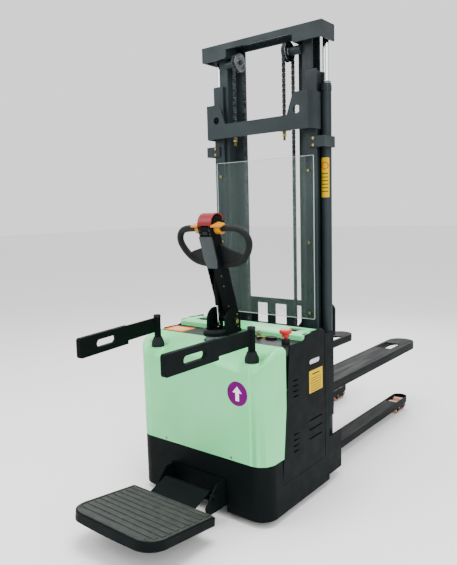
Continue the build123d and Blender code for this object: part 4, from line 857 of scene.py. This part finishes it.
class STACKER_OT_wheels(bpy.types.Operator):
    """Load rollers, drive wheel and castors: a bonded tyre on a turned hub"""
    bl_idname = "stacker.wheels"
    bl_label = "Wheels and rollers"

    @staticmethod
    def wheel(middle, radius, half, rim, bore, edge, tyre, hub):
        crown = [(rim, -half), (radius - edge, -half)]
        crown += arc(radius - edge, -half + edge, edge, -90, 0, 4)[1:]
        crown += arc(radius - edge, half - edge, edge, 0, 90, 4)
        crown.append((rim, half))
        hub_half = half * 0.96
        dish = half * 0.4
        disc = [(bore, -hub_half), (bore + 0.4 * (rim - bore), -hub_half), (bore + 0.5 * (rim - bore), -dish),
                (rim - 0.15 * (rim - bore), -dish), (rim - 0.08 * (rim - bore), -hub_half), (rim, -hub_half)]
        disc += [(r, -h) for r, h in reversed(disc)]
        turn = Matrix.Rotation(pi / 2, 4, "Y")
        return [lathe("tyre", crown, finish(tyre), at(*middle, turn), 72),
                lathe("hub", disc, finish(hub), at(*middle, turn), 48)]

    def execute(self, context):
        for row in ("rear", "front"):
            node = f"load_rollers_{row}"
            y = centre(node).y
            parts = []
            for sign in (-1, 1):
                parts += self.wheel((sign * 0.24, y, 0.041), 0.041, 0.034, 0.031, 0.0103, 0.0035,
                                    "roller_polyurethane", "bare_steel")
            hand_over(joined(parts, f"{node}_looks"), node)
        middle = centre("drive_wheel")
        parts = self.wheel(middle, 0.115, 0.0373, 0.094, 0.02, 0.005, "drive_tyre", "motor_paint")
        hand_over(joined(parts, "drive_wheel_looks"), "drive_wheel")
        for side in ("left", "right"):
            middle = centre(f"castor_wheel_{side}")
            parts = self.wheel(middle, 0.0625, 0.0188, 0.043, 0.0083, 0.006, "castor_tyre", "motor_paint")
            hand_over(joined(parts, f"castor_wheel_{side}_looks"), f"castor_wheel_{side}")
            soften(0.0012, f"castor_fork_{side}")
        soften(0.0015, "drive_unit")
        return {"FINISHED"}


class STACKER_OT_tiller(bpy.types.Operator):
    """Tiller: arm with its front apron, looped handle, cap, thumb paddles, rocker and gas spring"""
    bl_idname = "stacker.tiller"
    bl_label = "Tiller"

    @staticmethod
    def paddles():
        """Short star-shaped wings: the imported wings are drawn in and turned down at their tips."""
        bm = merged("throttle_paddles")
        for vert in bm.verts:
            if abs(vert.co.x) > 0.09:
                side = 1 if vert.co.x > 0 else -1
                vert.co.x -= side * 0.026
                near = TILLER.inverted() @ vert.co
                near.y = 0.03 + (near.y - 0.03) * 0.55
                near.z -= 0.004
                vert.co = TILLER @ near
        piece = mesh_piece("throttle_paddles_looks", bm, finish("paddle_orange"))
        hand_over(rounded_edges(piece, 0.0045, 4), "throttle_paddles")

    def execute(self, context):
        soften(0.0025, "tiller_base", segments=3)
        soften(0.003, "tiller_arm", segments=3)
        soften(0.002, "belly_button", segments=3)
        self.paddles()
        soften(0.0015, "lift_rocker")
        soften(0.0005, "gas_spring_rod", "gas_spring_barrel")
        cup = arc(0, 0, 0.0615, 172, 368, 28) + arc(0, 0, 0.046, 368, 172, 28)
        cup = cut_sheet("turret_cup", [cup], 0.015, finish("black_plastic"), at(0, STEER_Y, 0.8535), 0.003)
        hand_over(cup, body=BODY_OF["tiller_base"])
        loops = []
        for sign in (-1, 1):
            route = [(30, 478), (84, 479), (128, 478), (176, 474), (206, 450), (221, 412), (207, 372),
                     (182, 336), (150, 308), (106, 292), (28, 288)]
            points = [(sign * x * MM, 0.044, z * MM) for x, z in route]
            loops.append(pipe("loop", points, 0.0168, finish("grip_plastic"), TILLER, 4, 6, 8))
            outline = [(36, 404), (92, 372), (150, 356), (186, 340), (170, 314), (108, 298), (36, 292)]
            web = [(sign * x * MM, z * MM) for x, z in outline]
            web = with_round_corners(web[::sign], 0.008, 4)
            loops.append(cut_sheet("web", [web], 0.016, finish("grip_plastic"),
                                   TILLER @ at(0, 0.052, 0, FACING_OUT), 0.003))
        hand_over(joined(loops, "tiller_loop_looks"), "tiller_loop")
        apron = with_round_corners([(-0.031, 0.286), (0.031, 0.286), (0.0405, 0.33), (0.0405, 0.452),
                                    (-0.0405, 0.452), (-0.0405, 0.33)], [0.006, 0.006, 0.02, 0.004, 0.004, 0.02])
        apron = cut_sheet("tiller_apron", [apron], 0.009, finish("head_plastic"),
                          TILLER @ at(0, 0.0005, 0, FACING_OUT), 0.002)
        hand_over(apron, body=BODY_OF["tiller_arm"])
        button = lathe("button", [(0.0001, 0), (0.0075, 0), (0.0075, 0.003), (0.006, 0.0045), (0.0001, 0.0045)],
                       finish("black_plastic"), Matrix.Rotation(pi / 2, 4, "X"), 24)
        spots = [TILLER @ Vector((x, 0.0025, z)) for z in (0.482, 0.462) for x in (-0.03, 0.03)]
        buttons = repeated("head_buttons", button, spots, finish("black_plastic"), [LEAN] * 4)
        hand_over(buttons, body=BODY_OF["tiller_arm"])
        screw = screw_head("screw", 0.0032, 0.002, Matrix.Rotation(pi / 2, 4, "X"))
        spots = [TILLER @ Vector((x, 0.0002, z)) for z in (0.245, 0.19, 0.08) for x in (-0.0385, 0.0385)]
        screws = repeated("arm_screws", screw, spots, finish("zinc_bolt"), [LEAN] * len(spots))
        hand_over(screws, body=BODY_OF["tiller_arm"])
        for side, sign in (("left", -1), ("right", 1)):
            turn = Matrix.Rotation(sign * pi / 2, 4, "Y")
            bolt = hexagon_head("bolt", 0.024, 0.0105, 0.0165, at(sign * 0.0622, *TILT[1:], turn))
            small = [screw_head("screw", 0.004, 0.0025, at(sign * 0.0621, y, z, turn))
                     for y, z in ((-0.452, 0.931), (-0.447, 0.868))]
            hand_over(joined([bolt, *small], f"ear_bolts_{side}"), body=BODY_OF["tiller_base"])
        return {"FINISHED"}


class STACKER_OT_controls(bpy.types.Operator):
    """Emergency stop, key with its ring, battery gauge and their bezels"""
    bl_idname = "stacker.controls"
    bl_label = "Deck controls"

    def execute(self, context):
        soften(0.0012, "dash_fittings")
        soften(0.0012, "stop_button", segments=3)
        soften(0.0005, "key")
        lens = cut_sheet("gauge_lens", [oblong(0.047, 0.019, 0.0094)], 0.0016, finish("label_dark"),
                         at(0.243, -0.418, 0.8272), 0.0004)
        hand_over(lens, body="base")
        key = centre("key")
        loop = [(x, 0, z) for x, z in arc(0, 0, 0.013, 0, 360, 24)]
        ring = pipe("key_ring", loop, 0.0009, finish("key_brass"), at(key.x, key.y - 0.004, 0.836), 3, 4, 3)
        hand_over(ring, body=BODY_OF["key"])
        return {"FINISHED"}


class STACKER_OT_guards(bpy.types.Operator):
    """Guard arms on their posts, and the rubber boots the posts turn in"""
    bl_idname = "stacker.guards"
    bl_label = "Guard arms"

    def execute(self, context):
        soften(0.003, "guard_arm_left", "guard_arm_right", segments=3)
        profile = [(0.0185, 0.76), (0.033, 0.76), (0.033, 0.7835), (0.032, 0.7865), (0.0305, 0.788),
                   (0.0305, 0.791), (0.0275, 0.797), (0.0245, 0.803), (0.0235, 0.809), (0.0215, 0.8125),
                   (0.0195, 0.8135), (0.0185, 0.813)]
        boots = [lathe("boot", profile, finish("boot_rubber"), at(sign * POST.x, POST.y, 0)) for sign in (-1, 1)]
        hand_over(joined(boots, "post_boots_looks"), "post_boots")
        for side, sign in (("left", -1), ("right", 1)):
            rim = lathe("cap", [(0.0001, 0), (0.0178, 0), (0.0195, 0.003), (0.0195, 0.009), (0.0181, 0.0095),
                                (0.0181, 0.0105), (0.0001, 0.0105)],
                        finish("black_plastic"), at(sign * POST.x, POST.y, 0.9265, Matrix.Rotation(pi, 4, "X")))
            hand_over(rim, body=BODY_OF[f"guard_arm_{side}"])
        return {"FINISHED"}


class STACKER_OT_platform(bpy.types.Operator):
    """Folding platform: pressed tray with a thick rolled edge and a ribbed mat"""
    bl_idname = "stacker.platform"
    bl_label = "Platform"

    def execute(self, context):
        soften(0.0035, "platform_tray", segments=3)
        top, half, far, corner = -0.028, 0.262, -0.503, 0.095
        outline = with_round_corners([(-half + 0.008, far + 0.012), (half - 0.008, far + 0.012),
                                      (half - 0.008, -0.106), (-half + 0.008, -0.106)],
                                     [corner - 0.008, corner - 0.008, 0.006, 0.006], 8)
        pieces = [cut_sheet("base", [outline], 0.0019, finish("mat_rubber"), STEP @ at(0, 0, top - 0.006), 0.0005)]
        rim = with_round_corners([(-half + 0.016, far + 0.02), (half - 0.016, far + 0.02), (half - 0.016, -0.112),
                                  (-half + 0.016, -0.112)], [corner - 0.016, corner - 0.016, 0.004, 0.004], 8)
        pieces.append(cut_sheet("border", [outline, rim[::-1]], 0.0042, finish("mat_rubber"),
                                STEP @ at(0, 0, top - 0.0042), 0.0012))
        starts = [-0.128 - 0.038 * i for i in range(10)]
        straight = [y for y in starts if y - 0.012 > far + corner]
        rib = block("rib", (-half + 0.024, -0.0115, -0.0045), (half - 0.024, 0.0115, 0.0), finish("mat_rubber"),
                    0.0022, segments=3)
        spots = [STEP @ Vector((0, y, top)) for y in straight]
        pieces.append(repeated("ribs", rib, spots, finish("mat_rubber"), [-DROOP] * len(spots)))
        for y in starts:
            if y in straight:
                continue
            sunk = abs(y - 0.012 - far - corner)
            reach = half - corner + sqrt(corner ** 2 - sunk ** 2) - 0.026
            pieces.append(block("rib", (-reach, y - 0.0115, top - 0.0045), (reach, y + 0.0115, top),
                                finish("mat_rubber"), 0.0028, STEP, 3))
        hand_over(joined(pieces, "platform_mat_looks"), "platform_mat")
        return {"FINISHED"}


class STACKER_OT_fasteners(bpy.types.Operator):
    """Zinc bolts on screen and clamps, chain anchors with their nuts, and small cover screws"""
    bl_idname = "stacker.fasteners"
    bl_label = "Fasteners"

    def execute(self, context):
        face = Matrix.Rotation(pi / 2, 4, "X")
        heads = [(sign * 0.286, -0.1211, z) for sign in (-1, 1) for z in (0.905, 1.273, 1.641)]
        heads += [(sign * 0.318, -0.1252, z) for sign in (-1, 1) for z in (1.765, 1.798)]
        bolt = hexagon_head("bolt", 0.0125, 0.0062, 0.008, face)
        parts = [repeated("bolts", bolt, heads, finish("zinc_bolt"))]
        nuts = [(sign * CHAIN_X, ANCHOR_Y, z) for sign in (-1, 1) for z in (1.822, 1.836)]
        nut = hexagon_head("nut", 0.019, 0.0115, 0.0115, Matrix.Identity(4))
        parts.append(repeated("nuts", nut, nuts, finish("zinc_bolt")))
        for sign in (-1, 1):
            thread = [(0.0001, 1.8)]
            for turn in range(40):
                thread += [(0.0062, 1.8 + turn * 0.0015), (0.007, 1.8 + turn * 0.0015 + 0.00075)]
            thread.append((0.0001, 1.8615))
            parts.append(lathe("rod", thread, finish("zinc_bolt"), at(sign * CHAIN_X, ANCHOR_Y, 0), 20))
        hand_over(joined(parts, "fasteners_looks"), "fasteners")
        screw = screw_head("screw", 0.0055, 0.0028, face)
        spots = [(sign * 0.21, -0.7141, 0.309) for sign in (-1, 1)]
        hand_over(repeated("cover_front_screws", screw, spots, finish("zinc_bolt")), body="base")
        for side, sign in (("left", -1), ("right", 1)):
            screw = screw_head("screw", 0.0055, 0.0024, Matrix.Rotation(sign * pi / 2, 4, "Y"))
            spots = [(sign * 0.4043, -0.54, 0.62), (sign * 0.4043, -0.566, 0.4)]
            piece = repeated(f"cover_side_screws_{side}", screw, spots, finish("zinc_bolt"))
            hand_over(piece, body="base")
        return {"FINISHED"}


class STACKER_OT_labels(bpy.types.Operator):
    """Plain printed labels with no wording: safety colours, bars and an arrow"""
    bl_idname = "stacker.labels"
    bl_label = "Labels"

    def execute(self, context):
        thick = context.scene.stacker_sizes.label_thickness
        front = at(0.254, -0.7139, 0.622, FACING_OUT)
        disc = cut_sheet("disc", [arc(0, 0, 0.0575, 0, 354, 59)], thick, finish("label_purple"), front, 0.0001)
        arrow = [(0, 0.034), (0.026, 0.004), (0.01, 0.004), (0.01, -0.034), (-0.01, -0.034), (-0.01, 0.004),
                 (-0.026, 0.004)]
        arrow = cut_sheet("arrow", [arrow], thick, finish("label_white"), at(0, -thick, 0) @ front, 0.0001)
        hand_over(joined([disc, arrow], "cover_disc_label"), body="base")
        side = at(0.4062, -0.2695, 0.603, TO_RIGHT)
        sheet = cut_sheet("sheet", [oblong(0.13, 0.112, 0.004)], 0.0004, finish("label_yellow"), side, 0.0001)
        bars = [(0, 0.036, 0.07, 0.007)] + [(0, 0.016 - 0.0125 * i, 0.1, 0.003) for i in range(6)]
        bars = [cut_sheet("bar", [oblong(w, h, h * 0.3, x, y)], 0.0003, finish("label_dark"),
                          at(0.0004, 0, 0) @ side, 0.00008) for x, y, w, h in bars]
        hand_over(joined([sheet, *bars], "side_label"), body="base")
        deck = at(-0.328, -0.466, 0.8181)
        sheet = cut_sheet("sheet", [oblong(0.142, 0.106, 0.004)], thick, finish("label_orange"), deck, 0.0001)
        bars = [cut_sheet("bar", [oblong(0.1, 0.004, 0.001, 0, 0.03 - 0.02 * i)], thick, finish("label_white"),
                          at(0, 0, thick) @ deck, 0.0001) for i in range(4)]
        hand_over(joined([sheet, *bars], "deck_label"), body="base")
        strip = cut_sheet("strip", [oblong(0.11, 0.012, 0.002)], thick, finish("label_yellow"),
                          at(0.205, -0.392, 0.8181), 0.0001)
        hand_over(strip, body="base")
        ring = [arc(0, 0.06, 0.019, 0, 350, 35), arc(0, 0.06, 0.0145, 0, 350, 35)[::-1]]
        sleeve = [cut_sheet("sheet", [oblong(0.046, 0.2, 0.003)], thick, finish("label_yellow"), Matrix(), 0.0001),
                  cut_sheet("ring", ring, thick, finish("label_red"), at(0, 0, thick), 0.0001)]
        sleeve += [cut_sheet("bar", [oblong(0.034, 0.005, 0.001, 0, 0.02 - 0.018 * i)], thick,
                             finish("label_dark"), at(0, 0, thick), 0.0001) for i in range(6)]
        sleeve = joined(sleeve, "cylinder_label")
        bm = bmesh.new()
        bm.from_mesh(sleeve.data)
        for i in range(-11, 12):
            sliced(bm, (i * 0.002, 0, 0), (1, 0, 0))
        for vert in bm.verts:
            x, y, z = vert.co
            heading = radians(12) + x / 0.027
            reach = 0.02715 + z
            vert.co = (CYLINDER[0] + reach * sin(heading), CYLINDER[1] - reach * cos(heading), 1.604 + y)
        bm.to_mesh(sleeve.data)
        bm.free()
        hand_over(sleeve, body="base")
        return {"FINISHED"}


class STACKER_OT_stage(bpy.types.Operator):
    """Pale floor, soft studio lights and the camera"""
    bl_idname = "stacker.stage"
    bl_label = "Stage"

    def execute(self, context):
        bm = bmesh.new()
        bmesh.ops.create_grid(bm, x_segments=8, y_segments=8, size=40)
        floor = mesh_piece("studio_floor", bm, finish("floor"), at(0, 0, -0.0005))
        for name, place, aim, size, power in (
                ("key_light", (-2.2, -3.4, 3.6), (0, -0.4, 0.9), 2.6, 80),
                ("fill_light", (3.6, -1.8, 2.2), (0, -0.1, 0.8), 2.8, 70),
                ("top_light", (0.2, -0.6, 4.6), (0, -0.2, 1.0), 2.4, 230),
                ("rim_light", (-1.6, 3.6, 2.8), (0, 0, 1.2), 2.4, 70)):
            light = bpy.data.lights.new(name, "AREA")
            light.shape = "SQUARE"
            light.size = size
            light.energy = power
            lamp = linked(name, light)
            heading = (Vector(aim) - Vector(place)).to_track_quat("-Z", "Y")
            lamp.matrix_world = Matrix.Translation(place) @ heading.to_matrix().to_4x4()
        world = bpy.data.worlds.new("studio")
        world.use_nodes = True
        world.node_tree.nodes["Background"].inputs["Color"].default_value = srgb("#FFFFFF")
        world.node_tree.nodes["Background"].inputs["Strength"].default_value = 1.35
        context.scene.world = world
        camera = bpy.data.cameras.new("camera")
        camera.lens = 37.06
        camera.sensor_width = 36
        camera.clip_end = 120
        view = linked("camera", camera)
        yaw, pitch, roll = radians(38.6), radians(-7.0), radians(-1.5)
        turn = Matrix.Rotation(yaw, 4, "Z") @ Matrix.Rotation(pi / 2 + pitch, 4, "X")
        turn = turn @ Matrix.Rotation(roll, 4, "Z")
        view.matrix_world = at(1.8305, -2.7305, 1.4465, turn)
        context.scene.camera = view
        return {"FINISHED"}


def length_property(name, description, default, least=0.0):
    return bpy.props.FloatProperty(name=name, description=description, default=default, min=least, unit="LENGTH")


class StackerSizes(bpy.types.PropertyGroup):
    """Sizes a user would change."""
    plate_edge: length_property("Plate edge", "Radius of a deburred and painted plate edge", 0.0015, 0.0002)
    rolled_edge: length_property("Rolled edge", "Radius of a rolled mast section's edges", 0.0028, 0.0002)
    cover_grid: length_property("Cover grid", "Spacing of the points that shape the front cover", 0.007, 0.007)
    ridge_rise: length_property("Ridge rise", "How far the cover rises in its middle", 0.026)
    shoulder_rise: length_property("Shoulder rise", "How far the cover rises at its sides", 0.034)
    well_level: length_property("Well level", "Height of the level wells round the guard posts", 0.766)
    front_dip: length_property("Front dip", "How far the cover's front edge dips before the guard posts", 0.012)
    chain_pitch: length_property("Chain pitch", "Distance between the pins of the lift chains", 0.0127, 0.005)
    label_thickness: length_property("Label thickness", "Thickness of the printed labels", 0.0004, 0.0002)


def colour_property(name, description, code):
    return bpy.props.FloatVectorProperty(name=name, description=description, default=srgb(code), size=4,
                                         subtype="COLOR", min=0.0, max=1.0)


class StackerColours(bpy.types.PropertyGroup):
    """Colours a user would change."""
    mint: colour_property("Mint", "Covers, darker tone", "#63D085")
    mint_light: colour_property("Light mint", "Covers, lighter tone", "#70D892")
    slate: colour_property("Slate", "Mast enamel, darker tone", "#171F22")
    slate_light: colour_property("Light slate", "Mast enamel, lighter tone", "#202A2D")
    black: colour_property("Black", "Powder coat, darker tone", "#060A0B")
    black_light: colour_property("Light black", "Powder coat, lighter tone", "#0A1011")
    fork: colour_property("Fork paint", "Forks and legs", "#090D0E")
    fork_light: colour_property("Worn fork paint", "Forks and legs where they rub", "#161C1E")
    plastic: colour_property("Plastic", "Tiller and small mouldings", "#080C0D")
    nylon: colour_property("Nylon", "Slide pads", "#D8D3C4")
    floor: colour_property("Floor", "Studio floor", "#F2F2F1")


OPERATORS = (STACKER_OT_stage, STACKER_OT_chassis, STACKER_OT_cover, STACKER_OT_panels, STACKER_OT_mast,
             STACKER_OT_chains, STACKER_OT_pulleys, STACKER_OT_carriage, STACKER_OT_wheels, STACKER_OT_tiller,
             STACKER_OT_controls, STACKER_OT_guards, STACKER_OT_platform, STACKER_OT_fasteners,
             STACKER_OT_labels)


class STACKER_PT_panel(bpy.types.Panel):
    """Lists the stacker's sizes, colours and pieces"""
    bl_idname = "STACKER_PT_panel"
    bl_label = "Pallet stacker"
    bl_space_type = "VIEW_3D"
    bl_region_type = "UI"
    bl_category = "Stacker"

    def draw(self, context):
        for group in (context.scene.stacker_sizes, context.scene.stacker_colours):
            box = self.layout.box()
            for name in group.__annotations__:
                box.prop(group, name)
        for operator in OPERATORS:
            self.layout.operator(operator.bl_idname)


CLASSES = (StackerSizes, StackerColours, *OPERATORS, STACKER_PT_panel)


def register():
    for item in CLASSES:
        bpy.utils.register_class(item)
    bpy.types.Scene.stacker_sizes = bpy.props.PointerProperty(type=StackerSizes)
    bpy.types.Scene.stacker_colours = bpy.props.PointerProperty(type=StackerColours)


def unregister():
    del bpy.types.Scene.stacker_colours
    del bpy.types.Scene.stacker_sizes
    for item in reversed(CLASSES):
        bpy.utils.unregister_class(item)


def main():
    register()
    for operator in OPERATORS:
        group, name = operator.bl_idname.split(".")
        getattr(getattr(bpy.ops, group), name)()


if __name__ == "__main__":
    main()
